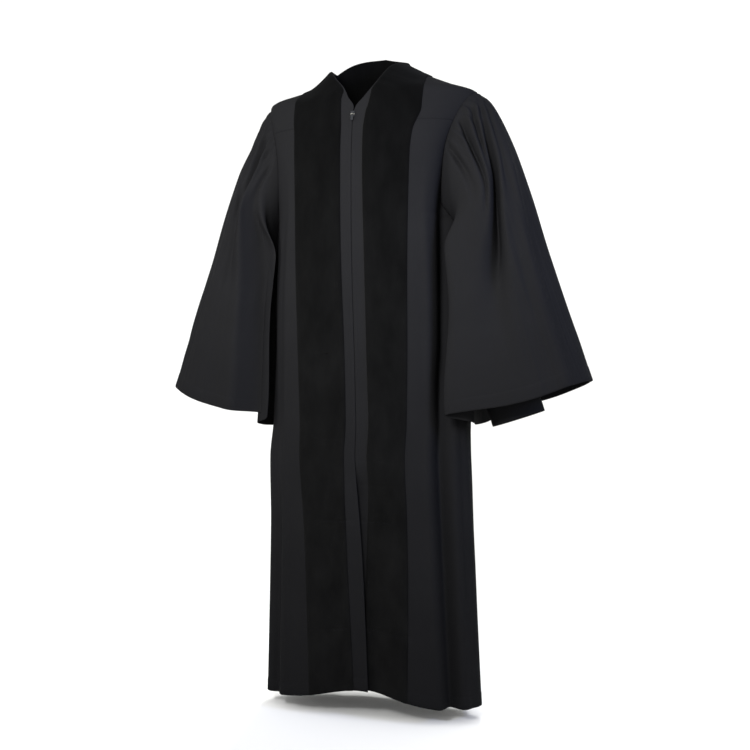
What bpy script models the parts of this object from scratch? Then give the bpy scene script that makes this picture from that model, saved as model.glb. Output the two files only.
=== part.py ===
"""A clergy robe, filled out with no wearer, and open at its neck, hem, cuffs and armholes.

The origin lies between the shoulders, level with the sides of the neck, where the wearer holds the robe up.
+X is the wearer's left, -Y the front and +Z up, in metres. The body is a stack of plan sections. A place on it is
its side, its reach round from the side line (positive to the front, negative to the back) and its height.
"""
import functools
import math

import bmesh
import bpy
import numpy as np
from mathutils import Matrix, Vector

LEFT = 1
RIGHT = -1
WORD = {LEFT: "left", RIGHT: "right"}

CLOTH = 0.0016
VELVET = 0.0020
LAYER_GAP = 0.0004
SEAM_GAP = 0.0006

NECK_SIDE = -0.009
BACK_NECK = 0.034
VELVET_SHOULDER = -0.041
SHOULDER_TIP = -0.083
UNDERARM = -0.345
ZIP_TOP = -0.124
ZIP_END = -0.871
HEM = -1.365

ARMHOLE_HALF_HEIGHT = (SHOULDER_TIP - UNDERARM) / 2
ARMHOLE_MIDDLE = (SHOULDER_TIP + UNDERARM) / 2
ARMHOLE_HALF_WIDTH = 0.088
ARMHOLE_STEP = 15
YOKE_STEP = 60
YOKE_SEAM = ARMHOLE_MIDDLE + ARMHOLE_HALF_HEIGHT * math.cos(math.radians(YOKE_STEP))

ZIP_SLIT = 0.0008
ZIP_TAPE_HALF_WIDTH = 0.012
ZIP_TAPE = 0.0012
ZIP_TAPE_GAP = 0.0009


class Table:
    """Rows of sizes under named columns, in rising order of the first, read by smooth curves through them."""

    def __init__(self, columns, rows):
        """Keep each column and its slope at each row, level where the column turns."""
        values = np.array(rows, dtype=float)
        self.at = values[:, 0]
        self.column = {name: values[:, place] for place, name in enumerate(columns)}
        self.slope = {name: self.slopes(column) for name, column in self.column.items()}

    def slopes(self, column):
        """Give the slope at each row, as the harmonic mean of its two neighbours."""
        steps = np.diff(column) / np.diff(self.at)
        slopes = np.zeros(len(column))
        slopes[0], slopes[-1] = steps[0], steps[-1]
        for row in range(1, len(steps)):
            before, after = steps[row - 1], steps[row]
            if before * after > 0:
                slopes[row] = 2 * before * after / (before + after)
        return slopes

    def read(self, name, at):
        """Read one column between its rows."""
        column, slope = self.column[name], self.slope[name]
        at = min(max(at, self.at[0]), self.at[-1])
        row = min(int(np.searchsorted(self.at, at, side="right")) - 1, len(self.at) - 2)
        step = self.at[row + 1] - self.at[row]
        part = (at - self.at[row]) / step
        rise = part * part * (3 - 2 * part)
        lead = part * (1 - part) ** 2 * step * slope[row]
        tail = part * part * (part - 1) * step * slope[row + 1]
        return float(column[row] * (1 - rise) + column[row + 1] * rise + lead + tail)


# The plan section at each height: a squared oval, with its own depth in front and behind, and the way that its
# middle sways to the wearer's left.
FORM = Table(
    ("height", "half_width", "front_depth", "back_depth", "squareness", "sway"),
    (
        (-1.365, 0.2450, 0.100, 0.116, 2.4, -0.002),
        (-1.000, 0.2310, 0.106, 0.122, 2.4, -0.006),
        (-0.850, 0.2270, 0.112, 0.126, 2.4, -0.009),
        (-0.770, 0.2190, 0.116, 0.127, 2.7, -0.003),
        (-0.600, 0.2090, 0.122, 0.130, 3.1, 0.000),
        (-0.345, 0.2060, 0.130, 0.138, 2.6, 0.000),
        (-0.214, 0.2240, 0.128, 0.140, 2.3, 0.000),
        (-0.120, 0.2360, 0.117, 0.134, 2.2, 0.000),
        (-0.083, 0.2350, 0.109, 0.128, 2.1, 0.000),
        (-0.062, 0.1850, 0.103, 0.122, 2.0, 0.000),
        (-0.041, 0.1370, 0.097, 0.114, 2.0, 0.000),
        (-0.022, 0.1030, 0.088, 0.104, 2.0, 0.000),
        (-0.009, 0.0810, 0.080, 0.096, 2.0, 0.000),
        (0.040, 0.0700, 0.070, 0.088, 2.0, 0.000),
    ),
)

# Where each front's centre edge and its velvet's two edges lie across the front, as +X distances from the
# middle for the wearer's left and -X distances for the right. A negative edge has crossed the middle.
LEFT_EDGES = Table(
    ("height", "edge", "velvet_inner", "velvet_outer"),
    (
        (-1.375, -0.010, 0.013, 0.112),
        (-1.065, 0.002, 0.026, 0.117),
        (-0.938, 0.010, 0.033, 0.117),
        (-0.871, 0.012, 0.037, 0.116),
        (-0.812, 0.010, 0.037, 0.116),
        (-0.622, 0.004, 0.031, 0.117),
        (-0.412, 0.001, 0.028, 0.118),
        (-0.222, 0.000, 0.024, 0.121),
        (-0.172, 0.000, 0.024, 0.126),
        (-0.125, 0.000, 0.029, 0.142),
        (-0.080, 0.000, 0.040, 0.143),
        (-0.041, 0.000, 0.060, 0.137),
    ),
)
RIGHT_EDGES = Table(
    ("height", "edge", "velvet_inner", "velvet_outer"),
    (
        (-1.375, -0.029, 0.003, 0.107),
        (-1.065, -0.021, 0.013, 0.111),
        (-0.938, -0.015, 0.015, 0.115),
        (-0.871, -0.012, 0.014, 0.118),
        (-0.812, -0.010, 0.014, 0.120),
        (-0.622, -0.004, 0.018, 0.127),
        (-0.412, -0.001, 0.023, 0.132),
        (-0.222, 0.000, 0.025, 0.137),
        (-0.172, 0.000, 0.025, 0.138),
        (-0.125, 0.000, 0.026, 0.142),
        (-0.080, 0.000, 0.029, 0.143),
        (-0.041, 0.000, 0.060, 0.137),
    ),
)
EDGES = {LEFT: LEFT_EDGES, RIGHT: RIGHT_EDGES}

# The neck's front edge from the yoke seam's height up to the side of the neck: its height, how far it lies from
# the middle on each side, and the share of the way out to the velvet's outer edge where the velvet begins.
NECK_COLUMNS = ("height", "left_across", "right_across", "left_strip_share", "right_strip_share")
NECK_ROWS = (
    (YOKE_SEAM, 0.0000, 0.0000, 0.180, 0.180),
    (-0.134, 0.0000, 0.0000, 0.190, 0.180),
    (-0.118, 0.0040, -0.0015, 0.190, 0.195),
    (-0.096, 0.0215, 0.0120, 0.110, 0.120),
    (-0.074, 0.0385, 0.0240, 0.015, 0.015),
    (-0.050, 0.0540, 0.0450, 0.015, 0.015),
    (-0.025, 0.0680, 0.0640, 0.015, 0.015),
    (NECK_SIDE, 0.0810, 0.0810, 0.015, 0.015),
)

# Long soft folds of the body: the side (0 for both), reach from the side line at the top and at the hem, half
# width, how far the cloth falls in (a ridge is negative), and the heights where the fold begins, is full, starts
# to fade and ends.
FOLD_COLUMNS = (
    "side", "top_reach", "hem_reach", "half_width", "depth", "begins", "full", "fades", "ends")
BODY_FOLDS = (
    (LEFT, 0.056, 0.090, 0.036, 0.034, -0.100, -0.240, -0.640, -0.860),
    (LEFT, 0.090, 0.082, 0.018, 0.030, -0.600, -0.860, -1.500, -1.600),
    (0, 0.034, 0.030, 0.018, 0.007, -0.700, -1.000, -1.500, -1.600),
    (0, 0.126, 0.112, 0.010, -0.003, -0.200, -0.400, -1.500, -1.600),
    (RIGHT, 0.092, 0.084, 0.014, 0.012, -0.800, -1.050, -1.500, -1.600),
    (0, -0.105, -0.085, 0.016, 0.011, -0.130, -0.260, -1.500, -1.600),
    (0, -0.150, -0.145, 0.018, 0.009, -0.160, -0.420, -1.500, -1.600),
    (0, -0.128, -0.116, 0.014, -0.004, -0.200, -0.500, -1.500, -1.600),
    (0, -0.200, -0.205, 0.018, 0.008, -0.160, -0.520, -1.500, -1.600),
    (0, -0.036, -0.030, 0.016, 0.007, -0.420, -0.800, -1.500, -1.600),
)

# The fronts lift a little at the middle of the hem, and the wearer's left front tucks in behind the right one.
HEM_LIFT = 0.034
HEM_LIFT_ACROSS = 0.01
HEM_LIFT_HALF_WIDTH = 0.116
HEM_LIFT_BEGINS = -0.95
TUCK = 0.013
TUCK_FULL_ACROSS = 0.030
TUCK_ENDS_ACROSS = 0.115
TUCK_LEAD = 0.020
TUCK_DROP = 0.060

# The wearer's right shoulder line sags between the neck and the tip, and the neck's back edge bows upward.
RIGHT_SAG = 0.014
RIGHT_SAG_ACROSS = 0.118
RIGHT_SAG_HALF_WIDTH = 0.046
RIGHT_SAG_BEGINS = -0.160
RIGHT_SAG_FULL = -0.070
NECK_BOW = {LEFT: 0.002, RIGHT: 0.012}
NECK_BAND_BOTTOM = -0.025

# The sleeve's rings from the armhole (0) to the mouth (1): its outer line under the shoulder tip, its inner line
# under the arm, half its depth from front to back, and how much closer in the wearer's right one hangs.
SLEEVE = Table(
    ("along", "outer_across", "outer_height", "inner_across", "inner_height", "half_depth", "right_trim"),
    (
        (0.00, 0.235, SHOULDER_TIP, 0.208, UNDERARM, 0.082, 0.000),
        (0.05, 0.261, -0.103, 0.216, -0.362, 0.091, 0.010),
        (0.15, 0.299, -0.172, 0.222, -0.400, 0.102, 0.022),
        (0.33, 0.344, -0.292, 0.223, -0.480, 0.109, 0.018),
        (0.55, 0.388, -0.434, 0.226, -0.580, 0.111, 0.010),
        (0.78, 0.432, -0.568, 0.230, -0.680, 0.112, 0.005),
        (1.00, 0.472, -0.683, 0.235, -0.776, 0.113, 0.008),
    ),
)
SLEEVE_ROWS = (0.0, 0.025, 0.05, 0.08, 0.12, 0.17, 0.23, 0.31, 0.42, 0.56, 0.70, 0.85, 1.0)
SLEEVE_SQUARENESS = 2.3
RIGHT_SLEEVE_DROP = 0.008
ARMHOLE_BLEND = 0.22
ARMHOLE_SEAM = 0.0012

# The sleeve's inner corners wrap a little way round the body, in front and behind, and further in front.
WRAP = 0.060
WRAP_TURN = 117
WRAP_SPREAD = 20
WRAP_BEGINS = 0.06
WRAP_FULL = 0.30
FRONT_WRAP = {LEFT: 0.036, RIGHT: 0.024}
FRONT_WRAP_BEGINS = 0.45

# Folds of the sleeve, which its gathered head lets fall: the side (0 for both), the turn from the shoulder line at
# the head and at the foot (positive to the front), half width in degrees at each, how far the cloth falls in (a
# ridge is negative), and where along the sleeve the fold begins, is full, starts to fade and ends.
SLEEVE_FOLD_COLUMNS = (
    "side", "head_turn", "foot_turn", "head_width", "foot_width", "depth", "begins", "full", "fades", "ends")
SLEEVE_FOLDS = (
    (0, 2, 66, 4.0, 2.8, 0.009, 0.004, 0.07, 0.08, 0.36),
    (LEFT, 12, 92, 4.5, 8.0, 0.012, 0.004, 0.07, 0.50, 0.95),
    (LEFT, 12, 92, 5.0, 8.0, 0.022, 0.060, 0.22, 0.36, 0.64),
    (0, 30, 97, 3.8, 2.8, 0.006, 0.004, 0.06, 0.07, 0.22),
    (0, 50, 99, 4.0, 3.0, 0.014, 0.004, 0.07, 0.10, 0.36),
    (0, 67, 100, 3.8, 2.8, 0.005, 0.004, 0.06, 0.07, 0.18),
    (0, 82, 101, 4.0, 3.2, 0.009, 0.010, 0.07, 0.08, 0.24),
    (LEFT, -6, 48, 8.0, 9.0, -0.012, 0.10, 0.30, 0.95, 1.20),
    (LEFT, 104, 112, 9.0, 9.0, -0.006, 0.15, 0.45, 0.90, 1.20),
    (RIGHT, 60, 99, 4.0, 4.5, -0.009, 0.10, 0.25, 0.95, 1.20),
    (RIGHT, 80, 113, 6.0, 8.0, 0.026, 0.08, 0.30, 0.95, 1.20),
    (RIGHT, 50, 52, 9.0, 10.0, 0.005, 0.15, 0.40, 0.80, 1.10),
    (0, 24, 26, 10.0, 10.0, 0.005, 0.25, 0.55, 0.80, 1.10),
    (0, -4, -64, 4.0, 2.8, 0.007, 0.004, 0.07, 0.07, 0.36),
    (0, -14, -90, 4.5, 8.5, 0.012, 0.004, 0.07, 0.60, 1.00),
    (0, -32, -97, 3.8, 2.8, 0.006, 0.004, 0.06, 0.07, 0.22),
    (0, -50, -99, 4.0, 3.0, 0.012, 0.004, 0.07, 0.08, 0.32),
    (0, -68, -100, 3.8, 2.8, 0.005, 0.004, 0.06, 0.07, 0.18),
    (0, -84, -101, 4.0, 3.2, 0.007, 0.010, 0.07, 0.08, 0.22),
    (0, -50, -48, 11.0, 11.0, -0.007, 0.15, 0.45, 0.80, 1.20),
    (0, -106, -112, 10.0, 10.0, -0.006, 0.15, 0.45, 0.80, 1.20),
    (0, -27, -26, 10.0, 10.0, 0.006, 0.25, 0.55, 0.80, 1.20),
)
FOLD_FALL = 4
SHORTEST_SPOKE = 0.01
GATHER_SPAN = 100
GATHER_STEPS = 45
UNDERARM_STEPS = 12

# The inner sleeve: where its top is sewn inside the bell, its cuff's middle, and the cuff's half sizes.
INNER_SLEEVE_ROW = 9
CUFF_ACROSS = 0.322
CUFF_HEIGHT = -0.763
CUFF_HALF_WIDTH = 0.056
CUFF_HALF_DEPTH = 0.045
RIGHT_CUFF_LIFT = 0.024
CUFF_TILT = 18
CUFF_LENGTH = 0.055
INNER_SLEEVE_CLEARANCE = 0.0012
INNER_SLEEVE_FOLD_CLEARANCE = 0.020
FOLD_CLEARANCE_TURN = {LEFT: 88, RIGHT: 108}
BACK_FOLD_CLEARANCE_TURN = -88
FOLD_CLEARANCE_SPREAD = 17

# The zip's slider, with two ears and a pin that carry the pull tab.
SLIDER_HEIGHT = -0.1335
SLIDER_LEAN_SPAN = 0.01
SLIDER_HALF_WIDTH = 0.0045
SLIDER_HALF_LENGTH = 0.0065
SLIDER_PLATE = 0.0016
SLIDER_STAND = 0.0009
SLIDER_NECK_HALF_WIDTH = 0.0004
SLIDER_NECK_HALF_LENGTH = 0.0020
SLIDER_BEVEL = 0.0005
EAR_INNER = 0.0017
EAR_OUTER = 0.0026
EAR_HALF_LENGTH = 0.0014
PIN_RADIUS = 0.0006
PIN_STAND = 0.0019
EYE_RADIUS = 0.0014
EYE_HOLE_RADIUS = 0.0009
EYE_HALF_LENGTH = 0.0013
TAB_HALF_WIDTH = 0.0026
TAB_LENGTH = 0.0140
TAB_THICKNESS = 0.0010
TAB_TOP = 0.0026
STEM_HALF_WIDTH = 0.0011
STEM_HALF_THICKNESS = 0.0004
STEM_SINK = 0.0008
ROUND_SIDES = 12

# How closely each panel is divided: its rows, and its columns from the centre to the side.
PLAN_SAMPLES = 241
FORM_STEP = 0.0015
STRIP_STEPS = 2
VELVET_STEPS = 3
PLEAT_OFFSETS = (0.026, 0.016, 0.008, 0.0, -0.008, -0.016, -0.026)
# The least distance between those columns beside the armhole.
PLEAT_SPACING = 0.001
SIDE_SHARES = (0.3, 0.65, 1)
SIDE_STEPS = len(PLEAT_OFFSETS) + len(SIDE_SHARES)
VELVET_FIRST = STRIP_STEPS
VELVET_LAST = STRIP_STEPS + VELVET_STEPS
CHEST_ROWS_END = -0.80
CHEST_STEPS = 5
SKIRT_STEPS = 7
YOKE_STEPS = 5
YOKE_INNER_GAP_SHARE = 0.006
BACK_INNER_STEPS = 5
BACK_OUTER_STEPS = 6
NECK_BAND_STEPS = 3
INNER_SLEEVE_SHARES = (0.0, 0.3, 0.65, 1.0)
TAPE_STEPS = 14
SMOOTH_ANGLE = 50

# Each material's colour, roughness, metallic share and sheen.
MATERIALS = {
    "polyester robe cloth": ((0.021, 0.021, 0.022), 0.8, 0.0, 0.3),
    "cotton velvet": ((0.005, 0.005, 0.006), 0.95, 0.0, 0.6),
    "zip tape": ((0.008, 0.008, 0.009), 0.7, 0.0, 0.0),
    "nickel plate": ((0.62, 0.61, 0.58), 0.3, 1.0, 0.0),
}


def clear_scene():
    """Remove the objects that the file opened with."""
    for item in list(bpy.data.objects):
        bpy.data.objects.remove(item)


def make_material(name, colour, roughness, metallic, sheen):
    """Make a Principled material of one colour."""
    material = bpy.data.materials.new(name)
    material.use_nodes = True
    shader = material.node_tree.nodes["Principled BSDF"]
    shader.inputs["Base Color"].default_value = (*colour, 1.0)
    shader.inputs["Roughness"].default_value = roughness
    shader.inputs["Metallic"].default_value = metallic
    shader.inputs["Sheen Weight"].default_value = sheen
    return material


def rise(value, start, end):
    """Climb smoothly from 0 at start to 1 at end."""
    part = min(max((value - start) / (end - start), 0.0), 1.0)
    return part * part * (3 - 2 * part)


def hump(value, middle, half_width):
    """Rise to 1 at the middle and fall away on both sides."""
    return math.exp(-(((value - middle) / half_width) ** 2))


@functools.lru_cache(maxsize=None)
def half_plan(height, front):
    """Give the plan from the left side line round to the right one: lengths, X values and Y values."""
    half_width = FORM.read("half_width", height)
    depth = -FORM.read("front_depth", height) if front else FORM.read("back_depth", height)
    power = 2 / FORM.read("squareness", height)
    turns = np.linspace(0, math.pi, PLAN_SAMPLES)
    across = half_width * np.sign(np.cos(turns)) * np.abs(np.cos(turns)) ** power
    deep = depth * np.abs(np.sin(turns)) ** power
    lengths = np.concatenate(([0.0], np.cumsum(np.hypot(np.diff(across), np.diff(deep)))))
    return lengths, across, deep


def quarter_girth(height, front):
    """Give the length from the side line to the centre line at a height."""
    return float(half_plan(height, front)[0][-1]) / 2


def reach_at(across, height, front=True):
    """Give the reach from the side line at which the plan lies that far across from the middle."""
    lengths, values, _ = half_plan(height, front)
    return float(np.interp(-across, -values, lengths))


def fold_reach(row, height):
    """Give the reach of a long fold's middle at a height."""
    fold = dict(zip(FOLD_COLUMNS, row))
    return fold["top_reach"] + (fold["hem_reach"] - fold["top_reach"]) * rise(-height, -SHOULDER_TIP, -HEM)


def fold_depth(side, reach, height):
    """Add up how far the long folds take the body's cloth in."""
    depth = 0.0
    for row in BODY_FOLDS:
        fold = dict(zip(FOLD_COLUMNS, row))
        if fold["side"] not in (0, side):
            continue
        strength = rise(-height, -fold["begins"], -fold["full"])
        strength *= 1 - rise(-height, -fold["fades"], -fold["ends"])
        depth += fold["depth"] * strength * hump(reach, fold_reach(row, height), fold["half_width"])
    return depth


def tuck_depth(side, reach, height):
    """Give how far the wearer's left front falls in behind the right one, below the zip."""
    if side == RIGHT or reach < 0:
        return 0.0
    from_middle = quarter_girth(height, True) - reach
    near = 1 - rise(from_middle, TUCK_FULL_ACROSS, TUCK_ENDS_ACROSS)
    return TUCK * near * rise(-height, -ZIP_END - TUCK_LEAD, -ZIP_END + TUCK_DROP)


def lift_at(side, reach, height, across):
    """Give how far the cloth is raised at a place: the right shoulder sags, and the fronts lift at the hem."""
    if side == RIGHT and height > RIGHT_SAG_BEGINS:
        sag = RIGHT_SAG * rise(height, RIGHT_SAG_BEGINS, RIGHT_SAG_FULL)
        return -sag * hump(across, RIGHT_SAG_ACROSS, RIGHT_SAG_HALF_WIDTH)
    if reach >= 0 and height < HEM_LIFT_BEGINS:
        lift = HEM_LIFT * rise(-height, -HEM_LIFT_BEGINS, -HEM)
        return lift * hump(side * across, HEM_LIFT_ACROSS, HEM_LIFT_HALF_WIDTH)
    return 0.0


def body_point(side, reach, height):
    """Give the point of the body's outer surface at a side, reach and height."""
    lengths, across, deep = half_plan(height, reach >= 0)
    length = abs(reach)
    x = float(np.interp(length, lengths, across))
    y = float(np.interp(length, lengths, deep))
    ahead = min(length + FORM_STEP, lengths[-1])
    behind = max(length - FORM_STEP, 0.0)
    run = np.interp(ahead, lengths, across) - np.interp(behind, lengths, across)
    climb = np.interp(ahead, lengths, deep) - np.interp(behind, lengths, deep)
    facing = 1 if reach >= 0 else -1
    outward = Vector((-climb * facing, run * facing, 0)).normalized()
    depth = fold_depth(side, reach, height) + tuck_depth(side, reach, height)
    point = Vector((x, y, height + lift_at(side, reach, height, x))) - outward * depth
    return Vector((side * point.x + FORM.read("sway", height), point.y, point.z))


def body_normal(side, reach, height):
    """Give the body's outward direction, from the points close by."""
    round_it = body_point(side, reach + FORM_STEP, height) - body_point(side, reach - FORM_STEP, height)
    up_it = body_point(side, reach, height + FORM_STEP) - body_point(side, reach, height - FORM_STEP)
    return -side * round_it.cross(up_it).normalized()


def armhole_place(turn):
    """Give the reach and height of the armhole's edge at a turn from the shoulder tip, positive to the front."""
    angle = math.radians(turn)
    return ARMHOLE_HALF_WIDTH * math.sin(angle), ARMHOLE_MIDDLE + ARMHOLE_HALF_HEIGHT * math.cos(angle)


def armhole_point(side, turn):
    """Give the point of the armhole's edge at a turn, straight between the panels' own points."""
    step = math.floor(turn / ARMHOLE_STEP)
    before = body_point(side, *armhole_place(step * ARMHOLE_STEP))
    after = body_point(side, *armhole_place((step + 1) * ARMHOLE_STEP))
    return before.lerp(after, turn / ARMHOLE_STEP - step)


def armhole_reach(height):
    """Give the reach of the armhole's edge at a height."""
    part = min(max((height - ARMHOLE_MIDDLE) / ARMHOLE_HALF_HEIGHT, -1.0), 1.0)
    return ARMHOLE_HALF_WIDTH * math.sqrt(1 - part * part)


def sheet_mesh(rows, closed=False):
    """Join rows of points into a sheet of four-sided faces, left out where a row has no point."""
    mesh = bmesh.new()
    lines = [[point and mesh.verts.new(point) for point in row] for row in rows]
    for upper, lower in zip(lines, lines[1:]):
        for column in range(len(upper) if closed else len(upper) - 1):
            after = (column + 1) % len(upper)
            corners = (upper[column], upper[after], lower[after], lower[column])
            if all(corners):
                mesh.faces.new(corners)
    mesh.normal_update()
    return mesh, lines


def face_outward(mesh, outward):
    """Turn every face so that the sheet faces the way that its points do."""
    first = mesh.faces[:][len(mesh.faces) // 2]
    if first.normal.dot(outward[first.verts[0]]) < 0:
        bmesh.ops.reverse_faces(mesh, faces=mesh.faces[:])
    mesh.normal_update()


def thicken(mesh, outward, outer, inner):
    """Make the sheet a closed wall between two distances along its points' outward directions."""
    twins = {vertex: mesh.verts.new(vertex.co + outward[vertex] * inner) for vertex in list(mesh.verts)}
    for vertex in twins:
        vertex.co = vertex.co + outward[vertex] * outer
    rims = [edge.link_loops[0] for edge in mesh.edges if edge.is_boundary]
    ends = [(loop.vert, loop.link_loop_next.vert) for loop in rims]
    for face in list(mesh.faces):
        mesh.faces.new([twins[vertex] for vertex in reversed(face.verts)])
    for first, second in ends:
        mesh.faces.new((second, first, twins[first], twins[second]))
    mesh.normal_update()


def add_object(name, mesh, material, smooth=True):
    """Turn a bmesh into a named object with its material."""
    data = bpy.data.meshes.new(name)
    bmesh.ops.triangulate(mesh, faces=mesh.faces[:])
    mesh.to_mesh(data)
    mesh.free()
    if smooth:
        data.shade_smooth()
        data.set_sharp_from_angle(angle=math.radians(SMOOTH_ANGLE))
    data.materials.append(material)
    item = bpy.data.objects.new(name, data)
    bpy.context.scene.collection.objects.link(item)
    return item


def add_panel(name, rows, material, outer=0.0, inner=-CLOTH):
    """Make a panel of the body from rows of places, between two distances from the body's surface."""
    mesh, lines = sheet_mesh([[place and body_point(*place) for place in row] for row in rows])
    outward = {}
    for row, line in zip(rows, lines):
        outward.update({vertex: body_normal(*place) for place, vertex in zip(row, line) if vertex})
    face_outward(mesh, outward)
    thicken(mesh, outward, outer, inner)
    return add_object(name, mesh, material)


def between(start, end, count):
    """Give evenly spaced values from start to end, both included."""
    return [start + (end - start) * step / count for step in range(count + 1)]


def body_heights():
    """Give the heights of the panels' rows from the yoke seam down to the hem."""
    turns = range(YOKE_STEP, 180, ARMHOLE_STEP)
    heights = [armhole_place(turn)[1] for turn in turns]
    heights += between(UNDERARM, CHEST_ROWS_END, CHEST_STEPS)
    heights += between(ZIP_END, HEM, SKIRT_STEPS)
    return heights


def side_reach(height):
    """Give the reach of a panel's outer edge: the armhole, or half a seam's gap under the arm."""
    return max(armhole_reach(height) if height > UNDERARM else 0.0, SEAM_GAP / 2)


def front_edge_reaches(side, height):
    """Give the reaches of a front's centre edge and of its velvet's inner and outer edges."""
    edges = EDGES[side]
    slit = edges.read("edge", height) + ZIP_SLIT
    inner = edges.read("velvet_inner", height)
    outer = edges.read("velvet_outer", height)
    return [reach_at(across, height) for across in (slit, inner, outer)]


def shoulder_place(side, level):
    """Give the reach and height of the velvet's outer edge, from the yoke seam (0) to the shoulder line (1)."""
    height = YOKE_SEAM + (VELVET_SHOULDER - YOKE_SEAM) * level
    across = EDGES[side].read("velvet_outer", height)
    return max(reach_at(across, height), 0.0), height


def shoulder_levels():
    """Give the levels of the rows between the yoke seam and the shoulder line."""
    heights = [row[0] for row in NECK_ROWS]
    return [(height - YOKE_SEAM) / (NECK_SIDE - YOKE_SEAM) for height in heights]


def lower_front_row(side, height):
    """Give one row of a front below the yoke seam, from its centre edge to its side."""
    slit, inner, outer = front_edge_reaches(side, height)
    reaches = between(slit, inner, STRIP_STEPS)[:-1]
    reaches += between(inner, outer, VELVET_STEPS)[:-1]
    middle, side_edge = fold_reach(BODY_FOLDS[0], height), side_reach(height)
    pleat = [max(middle + offset, side_edge + PLEAT_SPACING * (len(PLEAT_OFFSETS) - column))
             for column, offset in enumerate(PLEAT_OFFSETS)]
    reaches += [outer] + pleat
    reaches += [pleat[-1] + (side_edge - pleat[-1]) * share for share in SIDE_SHARES]
    return [(side, reach, height) for reach in reaches]


def upper_front_row(side, row, level):
    """Give one row of a front above the yoke seam, from the neck's edge to the velvet's outer edge."""
    neck = dict(zip(NECK_COLUMNS, row))
    start = (reach_at(neck[WORD[side] + "_across"] + ZIP_SLIT, neck["height"]), neck["height"])
    end = shoulder_place(side, level)
    strip_share = neck[WORD[side] + "_strip_share"]
    shares = between(0, strip_share, STRIP_STEPS)[:-1] + between(strip_share, 1, VELVET_STEPS)
    places = [(start[0] + (end[0] - start[0]) * s, start[1] + (end[1] - start[1]) * s) for s in shares]
    return [(side, max(reach, SEAM_GAP / 2), height) for reach, height in places]


def front_rows(side):
    """Give a front's rows from the shoulder line down to the hem; the upper ones stop at the velvet's edge."""
    upper = [upper_front_row(side, row, level) for row, level in zip(NECK_ROWS, shoulder_levels())]
    lower = [lower_front_row(side, height) for height in body_heights()]
    seam_row = upper[0][:VELVET_LAST] + lower[0][VELVET_LAST:]
    return [row + [None] * SIDE_STEPS for row in upper[:0:-1]] + [seam_row] + lower[1:]


def add_front(side, cloth, velvet):
    """Make a front panel, and the velvet panel that lies on it from shoulder to hem."""
    rows = front_rows(side)
    add_panel(f"front_{WORD[side]}", rows, cloth)
    velvet_rows = [row[VELVET_FIRST:VELVET_LAST + 1] for row in rows]
    add_panel(f"velvet_{WORD[side]}", velvet_rows, velvet, LAYER_GAP + VELVET, LAYER_GAP)


def yoke_place(side, share, level, facing):
    """Give a yoke's place: a share of the way from the velvet to the armhole, and a level up to the shoulder."""
    inner_reach, inner_height = shoulder_place(side if facing > 0 else LEFT, level)
    outer_height = YOKE_SEAM + (SHOULDER_TIP - YOKE_SEAM) * level
    outer_reach = armhole_reach(outer_height)
    inner_reach = max(inner_reach - SEAM_GAP, 0.0) if level < 1 else 0.0
    reach = inner_reach + (outer_reach - inner_reach) * share
    height = inner_height + (outer_height - inner_height) * share
    return facing * reach, height + SEAM_GAP * (1 - level)


def add_yoke(side, cloth):
    """Make a shoulder yoke, from its front seam over the shoulder line to its back seam."""
    levels = shoulder_levels()
    shares = between(YOKE_INNER_GAP_SHARE, 1, YOKE_STEPS)
    places = [(level, 1) for level in levels] + [(level, -1) for level in reversed(levels[:-1])]
    rows = [[(side, *yoke_place(side, share, level, facing)) for share in shares] for level, facing in places]
    add_panel(f"yoke_{WORD[side]}", rows, cloth)


def back_half_row(side, height):
    """Give one row of the back below the yoke seam, from the centre back out to its side."""
    centre = quarter_girth(height, False)
    inner = shoulder_place(LEFT, 0)[0]
    reaches = between(centre, inner, BACK_INNER_STEPS)[:-1]
    reaches += between(inner, side_reach(height), BACK_OUTER_STEPS)
    return [(side, -reach, height) for reach in reaches]


def upper_back_half_row(side, end, centre_height):
    """Give one row of the back above the yoke seam, out to a place on the yoke's edge or the shoulder line."""
    start = (quarter_girth(centre_height, False), centre_height)
    shares = between(0, 1, BACK_INNER_STEPS)
    bow = NECK_BOW[side] * rise(centre_height, NECK_BAND_BOTTOM, BACK_NECK)
    places = []
    for share in shares:
        height = start[1] + (end[1] - start[1]) * share + bow * math.sin(math.pi * share)
        places.append((side, -max(start[0] + (end[0] - start[0]) * share, SEAM_GAP / 2), height))
    return places


def back_rows():
    """Give the back's rows from the neck down to the hem, each from the wearer's right to the left."""
    ends = [shoulder_place(LEFT, level) for level in shoulder_levels()]
    ends += [(0.0, height) for height in between(VELVET_SHOULDER, NECK_SIDE, NECK_BAND_STEPS)[1:]]
    band_top = len(ends) - 1 - NECK_BAND_STEPS
    centre_heights = between(YOKE_SEAM, NECK_BAND_BOTTOM, band_top)
    centre_heights += between(NECK_BAND_BOTTOM, BACK_NECK, NECK_BAND_STEPS)[1:]
    rows = []
    for end, centre_height in reversed(list(zip(ends, centre_heights))):
        half = {side: upper_back_half_row(side, end, centre_height) for side in (LEFT, RIGHT)}
        rows.append(half[RIGHT][:0:-1] + half[LEFT])
    for height in body_heights():
        half = {side: back_half_row(side, height) for side in (LEFT, RIGHT)}
        rows.append(half[RIGHT][:0:-1] + half[LEFT])
    return rows


def add_back(cloth, velvet):
    """Make the back panel, and the velvet that goes on round the back of the neck."""
    rows = back_rows()
    upper_count = len(shoulder_levels()) + NECK_BAND_STEPS
    margin = [None] * BACK_OUTER_STEPS
    upper = [margin + row + margin for row in rows[:upper_count - 1]]
    add_panel("back", upper + rows[upper_count:], cloth)
    add_panel("velvet_neck", rows[:NECK_BAND_STEPS + 1], velvet, LAYER_GAP + VELVET, LAYER_GAP)


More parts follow.
